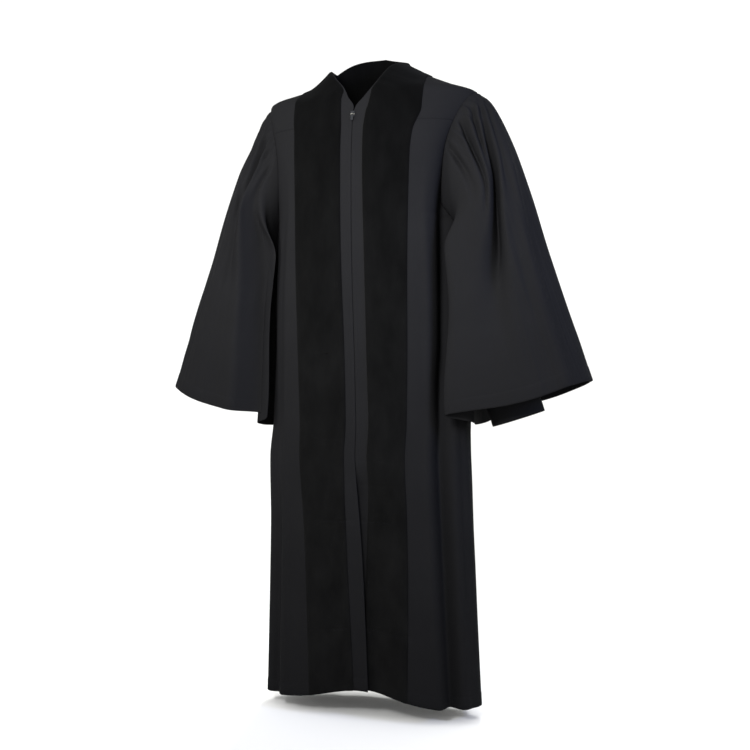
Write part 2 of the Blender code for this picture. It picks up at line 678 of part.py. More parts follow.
def sleeve_turns():
    """Give the turns of the sleeve's columns, close together where its head is gathered."""
    head = between(-GATHER_SPAN, GATHER_SPAN, GATHER_STEPS)
    under = between(GATHER_SPAN, 360 - GATHER_SPAN, UNDERARM_STEPS)[1:-1]
    return head + under


def turned_apart(turn, middle):
    """Give the turn between two turns, the short way round."""
    return (turn - middle + 180) % 360 - 180


def sleeve_fold_depth(side, turn, along):
    """Add up how far the folds take the sleeve's cloth in; each soon hangs straight down from the gathers."""
    fall = 1 - (1 - along) ** FOLD_FALL
    depth = 0.0
    for row in SLEEVE_FOLDS:
        fold = dict(zip(SLEEVE_FOLD_COLUMNS, row))
        if fold["side"] not in (0, side):
            continue
        middle = fold["head_turn"] + (fold["foot_turn"] - fold["head_turn"]) * fall
        half_width = fold["head_width"] + (fold["foot_width"] - fold["head_width"]) * fall
        strength = rise(along, fold["begins"], fold["full"]) * (1 - rise(along, fold["fades"], fold["ends"]))
        depth += fold["depth"] * strength * hump(turned_apart(turn, middle), 0, half_width)
    return depth


def sleeve_ring_point(side, turn, along, wrapped=True):
    """Give a point of a sleeve as on the wearer's left, without the armhole's own shape."""
    size = {name: SLEEVE.read(name, along) for name in SLEEVE.column}
    trim = size["right_trim"] if side == RIGHT else 0.0
    drop = RIGHT_SLEEVE_DROP * along if side == RIGHT else 0.0
    outer = Vector((size["outer_across"] - trim, 0, size["outer_height"] - drop))
    inner = Vector((size["inner_across"], 0, size["inner_height"] - drop))
    angle = math.radians(turn)
    power = 2 / SLEEVE_SQUARENESS
    long_way = math.copysign(abs(math.cos(angle)) ** power, math.cos(angle))
    short_way = math.copysign(abs(math.sin(angle)) ** power, math.sin(angle))
    depth = sleeve_fold_depth(side, turn, along)
    middle = (outer + inner) / 2
    spoke = (outer - inner) / 2 * long_way + Vector((0, -size["half_depth"], 0)) * short_way
    point = middle + spoke * (1 - depth / max(spoke.length, SHORTEST_SPOKE))
    if not wrapped:
        return point
    wrap = hump(abs(turned_apart(turn, 0)), WRAP_TURN, WRAP_SPREAD) * rise(along, WRAP_BEGINS, WRAP_FULL)
    reach_in = WRAP
    if turn > 0:
        reach_in += FRONT_WRAP[side] * rise(along, FRONT_WRAP_BEGINS, 1.0)
    return point - Vector((reach_in * wrap, 0, 0))


def sleeve_point(side, turn, along):
    """Give a point of a sleeve, which starts on the armhole's edge and takes up its own rings."""
    own = sleeve_ring_point(side, turn, along)
    edge = armhole_point(side, turned_apart(turn, 0))
    start = Vector((side * edge.x, edge.y, edge.z)) - sleeve_ring_point(side, turn, 0.0)
    point = own + start * (1 - rise(along, 0.0, ARMHOLE_BLEND)) + Vector((ARMHOLE_SEAM, 0, 0))
    return Vector((side * point.x, point.y, point.z))


def sleeve_rows(side):
    """Give the rings of a sleeve from its armhole to its mouth."""
    return [[sleeve_point(side, turn, along) for turn in sleeve_turns()] for along in SLEEVE_ROWS]


def add_tube(name, rows, material, outer=0.0, inner=-CLOTH):
    """Make a tube of cloth, open at both ends, from its rings."""
    mesh, lines = sheet_mesh(rows, closed=True)
    middle = sum(rows[-1], Vector()) / len(rows[-1])
    if sum(vertex.normal.dot(vertex.co - middle) for vertex in lines[-1]) < 0:
        bmesh.ops.reverse_faces(mesh, faces=mesh.faces[:])
        mesh.normal_update()
    thicken(mesh, {vertex: vertex.normal.copy() for vertex in mesh.verts}, outer, inner)
    return add_object(name, mesh, material)


def cuff_ring(side, turns, up):
    """Give a ring of the cuff's tube, that far up from its mouth."""
    tilt = math.radians(CUFF_TILT)
    wide = Vector((math.cos(tilt), 0, math.sin(tilt)))
    axis = Vector((-math.sin(tilt), 0, math.cos(tilt)))
    height = CUFF_HEIGHT + (RIGHT_CUFF_LIFT if side == RIGHT else 0.0)
    middle = Vector((CUFF_ACROSS, 0, height)) + axis * up
    ring = []
    for turn in turns:
        angle = math.radians(turn)
        point = middle + wide * CUFF_HALF_WIDTH * math.cos(angle)
        point += Vector((0, -CUFF_HALF_DEPTH * math.sin(angle), 0))
        ring.append(Vector((side * point.x, point.y, point.z)))
    return ring


def add_inner_sleeve(side, cloth):
    """Make the inner sleeve, sewn inside the bell at its top and narrowed to a cuff."""
    turns = sleeve_turns()
    along = SLEEVE_ROWS[INNER_SLEEVE_ROW]
    bell = [sleeve_ring_point(side, turn, along, wrapped=False) for turn in turns]
    bell = [Vector((side * (point.x + ARMHOLE_SEAM), point.y, point.z)) for point in bell]
    middle = sum(bell, Vector()) / len(bell)
    top = []
    for turn, point in zip(turns, bell):
        by_fold = hump(turned_apart(turn, 0), FOLD_CLEARANCE_TURN[side], FOLD_CLEARANCE_SPREAD)
        by_fold += hump(turned_apart(turn, 0), BACK_FOLD_CLEARANCE_TURN, FOLD_CLEARANCE_SPREAD)
        clear = CLOTH + INNER_SLEEVE_CLEARANCE + INNER_SLEEVE_FOLD_CLEARANCE * by_fold
        top.append(point + (middle - point).normalized() * clear)
    cuff_top = cuff_ring(side, turns, CUFF_LENGTH)
    body = [[a.lerp(b, share) for a, b in zip(top, cuff_top)] for share in INNER_SLEEVE_SHARES]
    rings = body + [cuff_ring(side, turns, 0.0)]
    add_tube(f"inner_sleeve_{WORD[side]}", rings, cloth)


def zip_frame():
    """Give the matrix of the slider: on the front's middle, with its face along the cloth."""
    girth = quarter_girth(SLIDER_HEIGHT, True)
    here = body_point(LEFT, girth, SLIDER_HEIGHT)
    higher = SLIDER_HEIGHT + SLIDER_LEAN_SPAN
    above = body_point(LEFT, quarter_girth(higher, True), higher)
    up = (above - here).normalized()
    lean = math.atan2(up.y, up.z)
    return Matrix.Translation(here) @ Matrix.Rotation(-lean, 4, "X")


def add_zip_tape(tape):
    """Make the tape that the chain is sewn on, behind the two fronts' edges."""
    heights = between(ZIP_TOP, ZIP_END, TAPE_STEPS)
    rows = []
    for height in heights:
        middle = LEFT_EDGES.read("edge", height)
        edges = (middle - ZIP_TAPE_HALF_WIDTH, middle, middle + ZIP_TAPE_HALF_WIDTH)
        rows.append([(LEFT, reach_at(across, height), height) for across in edges])
    behind = -CLOTH - ZIP_TAPE_GAP
    add_panel("zip_tape", rows, tape, behind, behind - ZIP_TAPE)


def box_mesh(low, high, bevel=0.0):
    """Make a box between two corners, with its edges rounded off where a bevel is given."""
    mesh = bmesh.new()
    bmesh.ops.create_cube(mesh, size=1)
    size = Vector(high) - Vector(low)
    middle = (Vector(high) + Vector(low)) / 2
    for vertex in mesh.verts:
        vertex.co = Vector(a * b for a, b in zip(vertex.co, size)) + middle
    if bevel:
        bmesh.ops.bevel(mesh, geom=mesh.edges[:], offset=bevel, segments=2, affect="EDGES", profile=0.5)
    return mesh


def rod_mesh(radius, half_length, out):
    """Make a rod along X, that far out in front."""
    mesh = bmesh.new()
    turn = Matrix.Rotation(math.radians(90), 4, "Y")
    place = Matrix.Translation((0, -out, 0)) @ turn
    bmesh.ops.create_cone(mesh, cap_ends=True, segments=ROUND_SIDES, radius1=radius, radius2=radius,
                          depth=2 * half_length, matrix=place)
    return mesh


def combine(item, mesh, operation, name):
    """Join a mesh to an object, or cut it out, as solids."""
    tool = add_object(name, mesh, item.data.materials[0], smooth=False)
    tool.hide_render = True
    tool.display_type = "WIRE"
    change = item.modifiers.new(name, "BOOLEAN")
    change.operation = operation
    change.solver = "EXACT"
    change.object = tool
    tool.matrix_world = item.matrix_world


def add_slider(frame, metal):
    """Make the slider: a plate on the cloth, a neck down to the tape, two ears and a pin."""
    face = SLIDER_STAND + SLIDER_PLATE
    plate = box_mesh((-SLIDER_HALF_WIDTH, -face, -SLIDER_HALF_LENGTH),
                     (SLIDER_HALF_WIDTH, -SLIDER_STAND, SLIDER_HALF_LENGTH), SLIDER_BEVEL)
    slider = add_object("zip_slider", plate, metal)
    slider.matrix_world = frame
    neck = box_mesh((-SLIDER_NECK_HALF_WIDTH, -face + SLIDER_PLATE / 2, -SLIDER_NECK_HALF_LENGTH),
                    (SLIDER_NECK_HALF_WIDTH, CLOTH, SLIDER_NECK_HALF_LENGTH))
    combine(slider, neck, "UNION", "slider_neck")
    for side in (LEFT, RIGHT):
        low = (min(side * EAR_INNER, side * EAR_OUTER), -face - PIN_STAND - EAR_HALF_LENGTH, -EAR_HALF_LENGTH)
        high = (max(side * EAR_INNER, side * EAR_OUTER), -face + SLIDER_PLATE / 2, EAR_HALF_LENGTH)
        combine(slider, box_mesh(low, high), "UNION", f"slider_ear_{side}")
    pin = rod_mesh(PIN_RADIUS, (EAR_INNER + EAR_OUTER) / 2, face + PIN_STAND)
    combine(slider, pin, "UNION", "slider_pin")


def add_pull(frame, metal):
    """Make the pull tab, whose eye turns on the slider's pin. Its origin is on that axis."""
    out = SLIDER_STAND + SLIDER_PLATE + PIN_STAND
    pull = add_object("zip_pull", rod_mesh(EYE_RADIUS, EYE_HALF_LENGTH, 0), metal)
    pull.matrix_world = frame @ Matrix.Translation((0, -out, 0))
    stem = box_mesh((-STEM_HALF_WIDTH, -STEM_HALF_THICKNESS, -TAB_TOP - STEM_SINK),
                    (STEM_HALF_WIDTH, STEM_HALF_THICKNESS, 0))
    tab = box_mesh((-TAB_HALF_WIDTH, -TAB_THICKNESS / 2, -TAB_LENGTH),
                   (TAB_HALF_WIDTH, TAB_THICKNESS / 2, -TAB_TOP), TAB_THICKNESS / 4)
    combine(pull, stem, "UNION", "pull_stem")
    combine(pull, tab, "UNION", "pull_tab")
    combine(pull, rod_mesh(EYE_HOLE_RADIUS, EYE_HALF_LENGTH * 2, 0), "DIFFERENCE", "pull_eye_hole")


def build_robe():
    """Make every piece of the robe."""
    clear_scene()
    cloth, velvet, tape, metal = [make_material(name, *look) for name, look in MATERIALS.items()]
    for side in (LEFT, RIGHT):
        add_front(side, cloth, velvet)
        add_yoke(side, cloth)
        add_tube(f"sleeve_{WORD[side]}", sleeve_rows(side), cloth)
        add_inner_sleeve(side, cloth)
    add_back(cloth, velvet)
    add_zip_tape(tape)
    frame = zip_frame()
    add_slider(frame, metal)
    add_pull(frame, metal)


build_robe()
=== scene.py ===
import math

import bpy
import numpy as np
from bpy.props import FloatProperty, FloatVectorProperty, PointerProperty
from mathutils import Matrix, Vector


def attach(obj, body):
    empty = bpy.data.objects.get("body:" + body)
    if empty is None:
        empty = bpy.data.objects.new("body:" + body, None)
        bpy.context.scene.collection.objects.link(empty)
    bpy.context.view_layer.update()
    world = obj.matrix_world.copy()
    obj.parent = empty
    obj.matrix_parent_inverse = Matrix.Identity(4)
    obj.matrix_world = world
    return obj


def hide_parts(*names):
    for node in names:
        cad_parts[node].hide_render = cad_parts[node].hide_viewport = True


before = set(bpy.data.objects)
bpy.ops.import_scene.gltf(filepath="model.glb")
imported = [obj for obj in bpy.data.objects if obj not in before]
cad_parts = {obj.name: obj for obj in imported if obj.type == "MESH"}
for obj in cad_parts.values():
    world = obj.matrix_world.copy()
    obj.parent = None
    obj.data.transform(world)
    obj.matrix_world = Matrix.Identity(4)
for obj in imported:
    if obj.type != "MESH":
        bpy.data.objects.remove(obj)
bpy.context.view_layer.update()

bl_info = {
    "name": "Clergy robe",
    "version": (1, 0, 0),
    "blender": (4, 5, 0),
    "location": "3D View > Sidebar > Robe",
    "description": "Builds a pulpit robe in black polyester and cotton velvet on its CAD frame",
    "category": "Object",
}

LEFT = 1
RIGHT = -1
WORD = {LEFT: "left", RIGHT: "right"}
BODY = "robe"

# Sizes that part.py also has, in metres.
CLOTH = 0.0016
LAYER_GAP = 0.0004
SEAM_GAP = 0.0006
NECK_SIDE = -0.009
BACK_NECK = 0.034
VELVET_SHOULDER = -0.041
SHOULDER_TIP = -0.083
UNDERARM = -0.345
ZIP_TOP = -0.124
ZIP_END = -0.871
HEM = -1.365
ARMHOLE_HALF_HEIGHT = (SHOULDER_TIP - UNDERARM) / 2
ARMHOLE_MIDDLE = (SHOULDER_TIP + UNDERARM) / 2
ARMHOLE_HALF_WIDTH = 0.088
YOKE_SEAM = ARMHOLE_MIDDLE + ARMHOLE_HALF_HEIGHT * math.cos(math.radians(60))
ZIP_SLIT = 0.0008

# How thick the cloth shows, which is less than the solids' walls.
SHELL = 0.0010
VELVET_RISE = 0.0020

# How closely each sheet is divided.
PLAN_STEP = 0.004
PLAN_LOW = -1.420
PLAN_HIGH = 0.080
PLAN_SHARES = 240


def rise(value, start, end):
    """Climb smoothly from 0 at start to 1 at end."""
    part = np.clip((value - start) / (end - start), 0.0, 1.0)
    return part * part * (3 - 2 * part)


def hump(value, middle, half_width):
    """Rise to 1 at the middle and fall away on both sides."""
    return np.exp(-(((value - middle) / half_width) ** 2))


def blend(start, end, share):
    """Go from start to end as the share goes from 0 to 1."""
    return start + (end - start) * share


class Table:
    """Rows of sizes under named columns, in rising order of the first, read by smooth curves through them."""

    def __init__(self, columns, rows):
        """Keep each column and its slope at each row, level where the column turns."""
        values = np.array(rows, dtype=float)
        self.at = values[:, 0]
        self.column = {name: values[:, place] for place, name in enumerate(columns)}
        self.slope = {name: self.slopes(column) for name, column in self.column.items()}

    def slopes(self, column):
        """Give the slope at each row, as the harmonic mean of its two neighbours."""
        steps = np.diff(column) / np.diff(self.at)
        slopes = np.zeros(len(column))
        slopes[0], slopes[-1] = steps[0], steps[-1]
        for row in range(1, len(steps)):
            before, after = steps[row - 1], steps[row]
            if before * after > 0:
                slopes[row] = 2 * before * after / (before + after)
        return slopes

    def read(self, name, at):
        """Read one column between its rows, at one place or many."""
        column, slope = self.column[name], self.slope[name]
        at = np.clip(at, self.at[0], self.at[-1])
        row = np.minimum(np.searchsorted(self.at, at, side="right") - 1, len(self.at) - 2)
        step = self.at[row + 1] - self.at[row]
        part = (at - self.at[row]) / step
        up = part * part * (3 - 2 * part)
        lead = part * (1 - part) ** 2 * step * slope[row]
        tail = part * part * (part - 1) * step * slope[row + 1]
        return column[row] * (1 - up) + column[row + 1] * up + lead + tail


# The plan section at each height, as in part.py.
FORM = Table(
    ("height", "half_width", "front_depth", "back_depth", "squareness", "sway"),
    (
        (-1.365, 0.2450, 0.100, 0.116, 2.4, -0.002),
        (-1.000, 0.2310, 0.106, 0.122, 2.4, -0.006),
        (-0.850, 0.2270, 0.112, 0.126, 2.4, -0.009),
        (-0.770, 0.2190, 0.116, 0.127, 2.7, -0.003),
        (-0.600, 0.2090, 0.122, 0.130, 3.1, 0.000),
        (-0.345, 0.2060, 0.130, 0.138, 2.6, 0.000),
        (-0.214, 0.2240, 0.128, 0.140, 2.3, 0.000),
        (-0.120, 0.2360, 0.117, 0.134, 2.2, 0.000),
        (-0.083, 0.2350, 0.109, 0.128, 2.1, 0.000),
        (-0.062, 0.1850, 0.103, 0.122, 2.0, 0.000),
        (-0.041, 0.1370, 0.097, 0.114, 2.0, 0.000),
        (-0.022, 0.1030, 0.088, 0.104, 2.0, 0.000),
        (-0.009, 0.0810, 0.080, 0.096, 2.0, 0.000),
        (0.040, 0.0700, 0.070, 0.088, 2.0, 0.000),
    ),
)

# Where each front's centre edge and its velvet's edges lie across the front, as in part.py.
EDGE_COLUMNS = ("height", "edge", "velvet_inner", "velvet_outer")
EDGES = {
    LEFT: Table(EDGE_COLUMNS, (
        (-1.375, -0.010, 0.013, 0.112),
        (-1.065, 0.002, 0.026, 0.117),
        (-0.938, 0.010, 0.033, 0.117),
        (-0.871, 0.012, 0.037, 0.116),
        (-0.812, 0.010, 0.037, 0.116),
        (-0.622, 0.004, 0.031, 0.117),
        (-0.412, 0.001, 0.028, 0.118),
        (-0.222, 0.000, 0.024, 0.121),
        (-0.172, 0.000, 0.024, 0.126),
        (-0.125, 0.000, 0.029, 0.142),
        (-0.080, 0.000, 0.040, 0.143),
        (-0.041, 0.000, 0.060, 0.137),
    )),
    RIGHT: Table(EDGE_COLUMNS, (
        (-1.375, -0.029, 0.003, 0.107),
        (-1.065, -0.021, 0.013, 0.111),
        (-0.938, -0.015, 0.015, 0.115),
        (-0.871, -0.012, 0.014, 0.118),
        (-0.812, -0.010, 0.014, 0.120),
        (-0.622, -0.004, 0.018, 0.127),
        (-0.412, -0.001, 0.023, 0.132),
        (-0.222, 0.000, 0.025, 0.137),
        (-0.172, 0.000, 0.025, 0.138),
        (-0.125, 0.000, 0.026, 0.142),
        (-0.080, 0.000, 0.029, 0.143),
        (-0.041, 0.000, 0.060, 0.137),
    )),
}

# The neck's front edge, and where the velvet begins, as in part.py.
NECK = Table(
    ("height", "left_across", "right_across", "left_strip_share", "right_strip_share"),
    (
        (YOKE_SEAM, 0.0000, 0.0000, 0.180, 0.180),
        (-0.134, 0.0000, 0.0000, 0.190, 0.180),
        (-0.118, 0.0040, -0.0015, 0.190, 0.195),
        (-0.096, 0.0215, 0.0120, 0.110, 0.120),
        (-0.074, 0.0385, 0.0240, 0.015, 0.015),
        (-0.050, 0.0540, 0.0450, 0.015, 0.015),
        (-0.025, 0.0680, 0.0640, 0.015, 0.015),
        (NECK_SIDE, 0.0810, 0.0810, 0.015, 0.015),
    ),
)

# Long soft folds of the body, as in part.py: the side (0 for both), the reach from the side line at the top
# and at the hem, the half width, how far the cloth falls in (a ridge is negative), and the heights where
# the fold begins, is full, starts to fade and ends.
FOLD_COLUMNS = ("side", "top_reach", "hem_reach", "half_width", "depth", "begins", "full", "fades", "ends")
BODY_FOLDS = (
    (LEFT, 0.056, 0.090, 0.036, 0.034, -0.100, -0.240, -0.640, -0.860),
    (LEFT, 0.090, 0.082, 0.018, 0.030, -0.600, -0.860, -1.500, -1.600),
    (0, 0.034, 0.030, 0.018, 0.007, -0.700, -1.000, -1.500, -1.600),
    (0, 0.126, 0.112, 0.010, -0.003, -0.200, -0.400, -1.500, -1.600),
    (RIGHT, 0.092, 0.084, 0.014, 0.012, -0.800, -1.050, -1.500, -1.600),
    (0, -0.105, -0.085, 0.016, 0.011, -0.130, -0.260, -1.500, -1.600),
    (0, -0.150, -0.145, 0.018, 0.009, -0.160, -0.420, -1.500, -1.600),
    (0, -0.128, -0.116, 0.014, -0.004, -0.200, -0.500, -1.500, -1.600),
    (0, -0.200, -0.205, 0.018, 0.008, -0.160, -0.520, -1.500, -1.600),
    (0, -0.036, -0.030, 0.016, 0.007, -0.420, -0.800, -1.500, -1.600),
)

# How the hem rises in the middle of the front.
HEM_LIFT = 0.034
HEM_LIFT_ACROSS = 0.01
HEM_LIFT_HALF_WIDTH = 0.116
HEM_LIFT_BEGINS = -0.95

# How the left front falls in behind the right one below the zip, and reaches on there.
TUCK = 0.013
TUCK_FULL_ACROSS = 0.030
TUCK_ENDS_ACROSS = 0.115
TUCK_LEAD = 0.020
TUCK_DROP = 0.060
UNDERLAP = 0.008
UNDERLAP_BEGINS = 0.002
UNDERLAP_FULL = 0.012

# How the cloth sags at the right shoulder, and how the neck's back edge bows upward.
RIGHT_SAG = 0.014
RIGHT_SAG_ACROSS = 0.118
RIGHT_SAG_HALF_WIDTH = 0.046
RIGHT_SAG_BEGINS = -0.160
RIGHT_SAG_FULL = -0.070
NECK_BOW = {LEFT: 0.002, RIGHT: 0.012}
NECK_BAND_BOTTOM = -0.025

# The sleeve's rings from the armhole (0) to the mouth (1), and its flutes and long folds, as in part.py.
SLEEVE = Table(
    ("along", "outer_across", "outer_height", "inner_across", "inner_height", "half_depth", "right_trim"),
    (
        (0.00, 0.235, SHOULDER_TIP, 0.208, UNDERARM, 0.082, 0.000),
        (0.05, 0.261, -0.103, 0.216, -0.362, 0.091, 0.010),
        (0.15, 0.299, -0.172, 0.222, -0.400, 0.102, 0.022),
        (0.33, 0.344, -0.292, 0.223, -0.480, 0.109, 0.018),
        (0.55, 0.388, -0.434, 0.226, -0.580, 0.111, 0.010),
        (0.78, 0.432, -0.568, 0.230, -0.680, 0.112, 0.005),
        (1.00, 0.472, -0.683, 0.235, -0.776, 0.113, 0.008),
    ),
)
SLEEVE_SQUARENESS = 2.3
RIGHT_SLEEVE_DROP = 0.008

# How much of the sleeve goes over from the armhole's shape to its own, and how far its head stands off the
# seam.
ARMHOLE_BLEND = 0.22
ARMHOLE_SEAM = 0.0004

# How the sleeve's inner part wraps toward the body.
WRAP = 0.060
WRAP_TURN = 117
WRAP_SPREAD = 20
WRAP_BEGINS = 0.06
WRAP_FULL = 0.30
FRONT_WRAP = {LEFT: 0.036, RIGHT: 0.024}
FRONT_WRAP_BEGINS = 0.45

# Folds that the sleeve's gathered head lets fall, as in part.py: the side (0 for both), the turn from the
# shoulder line at the head and at the foot, the half width in degrees at each, how far the cloth falls in
# (a ridge is negative), and where along the sleeve the fold begins, is full, starts to fade and ends.
SLEEVE_FOLD_COLUMNS = (
    "side", "head_turn", "foot_turn", "head_width", "foot_width", "depth", "begins", "full", "fades", "ends")
SLEEVE_FOLDS = (
    (0, 2, 66, 4.0, 2.8, 0.009, 0.004, 0.07, 0.08, 0.36),
    (LEFT, 12, 92, 4.5, 8.0, 0.012, 0.004, 0.07, 0.50, 0.95),
    (LEFT, 12, 92, 5.0, 8.0, 0.022, 0.060, 0.22, 0.36, 0.64),
    (0, 30, 97, 3.8, 2.8, 0.006, 0.004, 0.06, 0.07, 0.22),
    (0, 50, 99, 4.0, 3.0, 0.014, 0.004, 0.07, 0.10, 0.36),
    (0, 67, 100, 3.8, 2.8, 0.005, 0.004, 0.06, 0.07, 0.18),
    (0, 82, 101, 4.0, 3.2, 0.009, 0.010, 0.07, 0.08, 0.24),
    (LEFT, -6, 48, 8.0, 9.0, -0.012, 0.10, 0.30, 0.95, 1.20),
    (LEFT, 104, 112, 9.0, 9.0, -0.006, 0.15, 0.45, 0.90, 1.20),
    (RIGHT, 60, 99, 4.0, 4.5, -0.009, 0.10, 0.25, 0.95, 1.20),
    (RIGHT, 80, 113, 6.0, 8.0, 0.026, 0.08, 0.30, 0.95, 1.20),
    (RIGHT, 50, 52, 9.0, 10.0, 0.005, 0.15, 0.40, 0.80, 1.10),
    (0, 24, 26, 10.0, 10.0, 0.005, 0.25, 0.55, 0.80, 1.10),
    (0, -4, -64, 4.0, 2.8, 0.007, 0.004, 0.07, 0.07, 0.36),
    (0, -14, -90, 4.5, 8.5, 0.012, 0.004, 0.07, 0.60, 1.00),
    (0, -32, -97, 3.8, 2.8, 0.006, 0.004, 0.06, 0.07, 0.22),
    (0, -50, -99, 4.0, 3.0, 0.012, 0.004, 0.07, 0.08, 0.32),
    (0, -68, -100, 3.8, 2.8, 0.005, 0.004, 0.06, 0.07, 0.18),
    (0, -84, -101, 4.0, 3.2, 0.007, 0.010, 0.07, 0.08, 0.22),
    (0, -50, -48, 11.0, 11.0, -0.007, 0.15, 0.45, 0.80, 1.20),
    (0, -106, -112, 10.0, 10.0, -0.006, 0.15, 0.45, 0.80, 1.20),
    (0, -27, -26, 10.0, 10.0, 0.006, 0.25, 0.55, 0.80, 1.20),
)
FOLD_FALL = 4

# Sharper grooves and ridges between and along those folds, under the same columns.
SLEEVE_GROOVES = (
    (LEFT, 82, 101, 3.2, 3.0, 0.0045, 0.004, 0.02, 0.05, 0.13),
    (LEFT, 66, 100, 3.4, 3.0, -0.0030, 0.010, 0.04, 0.08, 0.20),
    (LEFT, 52, 99, 3.2, 3.0, 0.0070, 0.008, 0.04, 0.09, 0.20),
    (LEFT, 40, 98, 3.4, 3.0, -0.0035, 0.015, 0.05, 0.11, 0.24),
    (LEFT, 29, 97, 3.4, 3.2, 0.0065, 0.015, 0.06, 0.13, 0.27),
    (LEFT, 20, 95, 3.2, 3.4, -0.0035, 0.020, 0.06, 0.16, 0.34),
    (LEFT, 12, 92, 3.0, 4.6, 0.0060, 0.060, 0.20, 0.40, 0.55),
    (RIGHT, 74, 100, 3.2, 3.0, 0.0040, 0.006, 0.03, 0.06, 0.15),
    (RIGHT, 44, 98, 3.4, 3.0, 0.0055, 0.010, 0.05, 0.10, 0.22),
    (RIGHT, 34, 97, 3.2, 3.0, -0.0030, 0.015, 0.05, 0.10, 0.22),
    (RIGHT, 20, 96, 3.4, 3.2, 0.0050, 0.015, 0.06, 0.14, 0.30),
    (RIGHT, 60, 99, 2.8, 3.0, -0.0045, 0.120, 0.25, 0.95, 1.20),
    (RIGHT, 46, 90, 4.5, 5.0, 0.0070, 0.100, 0.25, 0.42, 0.56),
    (0, -22, -94, 3.4, 3.2, 0.0050, 0.015, 0.06, 0.14, 0.30),
    (0, -36, -97, 3.4, 3.0, -0.0030, 0.012, 0.05, 0.10, 0.24),
    (0, -50, -99, 3.2, 3.0, 0.0060, 0.008, 0.04, 0.10, 0.22),
    (0, -74, -100, 3.2, 3.0, 0.0045, 0.006, 0.03, 0.06, 0.15),
)

# The inner sleeve's start inside the bell and its cuff, as in part.py.
INNER_SLEEVE_ALONG = 0.56
CUFF_ACROSS = 0.322
CUFF_HEIGHT = -0.763
CUFF_HALF_WIDTH = 0.056
CUFF_HALF_DEPTH = 0.045
RIGHT_CUFF_LIFT = 0.024
CUFF_TILT = 18
CUFF_LENGTH = 0.055
INNER_SLEEVE_CLEARANCE = 0.0012
INNER_SLEEVE_FOLD_CLEARANCE = 0.020
FOLD_CLEARANCE_TURN = {LEFT: 88, RIGHT: 108}
BACK_FOLD_CLEARANCE_TURN = -88
FOLD_CLEARANCE_SPREAD = 17

# Soft creases pressed in by folding and wear: the side (0 for both), the reach and height where each begins
# and ends, its half width, and how far the cloth falls in (a ridge is negative).
CREASE_COLUMNS = ("side", "reach", "height", "end_reach", "end_height", "half_width", "depth")
BODY_CREASES = (
    (0, 0.190, -0.980, 0.300, -0.974, 0.004, 0.0009),
    (0, 0.150, -1.221, 0.300, -1.226, 0.004, 0.0008),
    (RIGHT, 0.180, -0.807, 0.290, -0.803, 0.003, 0.0005),
    (LEFT, 0.170, -0.848, 0.280, -0.852, 0.003, 0.0005),
    (0, 0.180, -0.902, 0.290, -0.899, 0.003, 0.0005),
    (RIGHT, 0.195, -0.630, 0.240, -0.632, 0.002, -0.0006),
    (LEFT, 0.060, -0.560, 0.030, -0.900, 0.010, 0.0022),
    (RIGHT, 0.065, -0.520, 0.036, -0.860, 0.011, 0.0024),
    (LEFT, 0.012, -0.700, 0.020, -1.330, 0.012, -0.0026),
    (RIGHT, 0.014, -0.760, 0.008, -1.330, 0.012, -0.0022),
    (0, -0.010, -0.620, -0.022, -1.200, 0.012, -0.0024),
    (0, -0.072, -0.240, -0.060, -0.940, 0.011, 0.0030),
    (0, -0.092, -0.420, -0.070, -1.330, 0.009, -0.0022),
    (0, -0.175, -0.190, -0.182, -0.900, 0.010, -0.0026),
    (0, -0.226, -0.200, -0.232, -0.780, 0.010, 0.0026),
    (LEFT, -0.262, -0.250, -0.258, -1.050, 0.012, -0.0022),
    (RIGHT, -0.268, -0.220, -0.270, -0.940, 0.012, 0.0020),
    (0, -0.060, -0.960, -0.140, -1.010, 0.016, 0.0012),
    (0, -0.190, -0.975, -0.290, -0.982, 0.005, 0.0007),
    (0, -0.160, -1.220, -0.290, -1.226, 0.005, 0.0007),
)

# The same for the sleeves, by turn from the shoulder line in degrees and by share along the sleeve.
SLEEVE_CREASE_COLUMNS = ("side", "turn", "along", "end_turn", "end_along", "half_width", "depth")
SLEEVE_CREASES = (
    (LEFT, 70, 0.20, 66, 0.78, 5.0, -0.0022),
    (RIGHT, 64, 0.10, 86, 0.54, 6.0, 0.0050),
    (RIGHT, 84, 0.12, 98, 0.90, 3.5, -0.0040),
    (RIGHT, 42, 0.16, 48, 0.60, 7.0, 0.0030),
    (0, 45, 0.12, 39, 0.66, 5.5, 0.0030),
    (0, 16, 0.22, 12, 0.90, 6.0, 0.0024),
    (0, 3, 0.30, 1, 1.02, 6.0, -0.0018),
    (0, -14, 0.14, -12, 0.80, 6.0, 0.0026),
    (0, -42, 0.16, -37, 0.74, 5.5, 0.0028),
    (0, -66, 0.20, -62, 0.86, 5.0, -0.0020),
    (LEFT, 62, 0.62, 80, 0.84, 6.0, 0.0014),
    (LEFT, 38, 0.70, 56, 0.92, 6.5, 0.0016),
    (LEFT, 22, 0.58, 33, 0.74, 5.0, -0.0012),
    (RIGHT, 58, 0.55, 74, 0.80, 6.0, 0.0015),
    (RIGHT, 34, 0.74, 50, 0.93, 6.5, 0.0013),
    (0, -58, 0.58, -76, 0.82, 6.0, 0.0014),
    (0, -20, 0.66, -34, 0.90, 6.0, 0.0013),
    (0, 150, 0.10, 160, 0.50, 8.0, 0.0020),
    (0, 205, 0.12, 200, 0.60, 8.0, 0.0018),
)
SLEEVE_CREASE_SCALE = 100.0

# How far a crease wavers as a share of its half width, the shares of its length between which it is full,
# and how uneven it is.
CREASE_WAVER = 0.35
CREASE_FULL = 0.3
CREASE_FADES = 0.7
CREASE_UNEVEN = 0.15

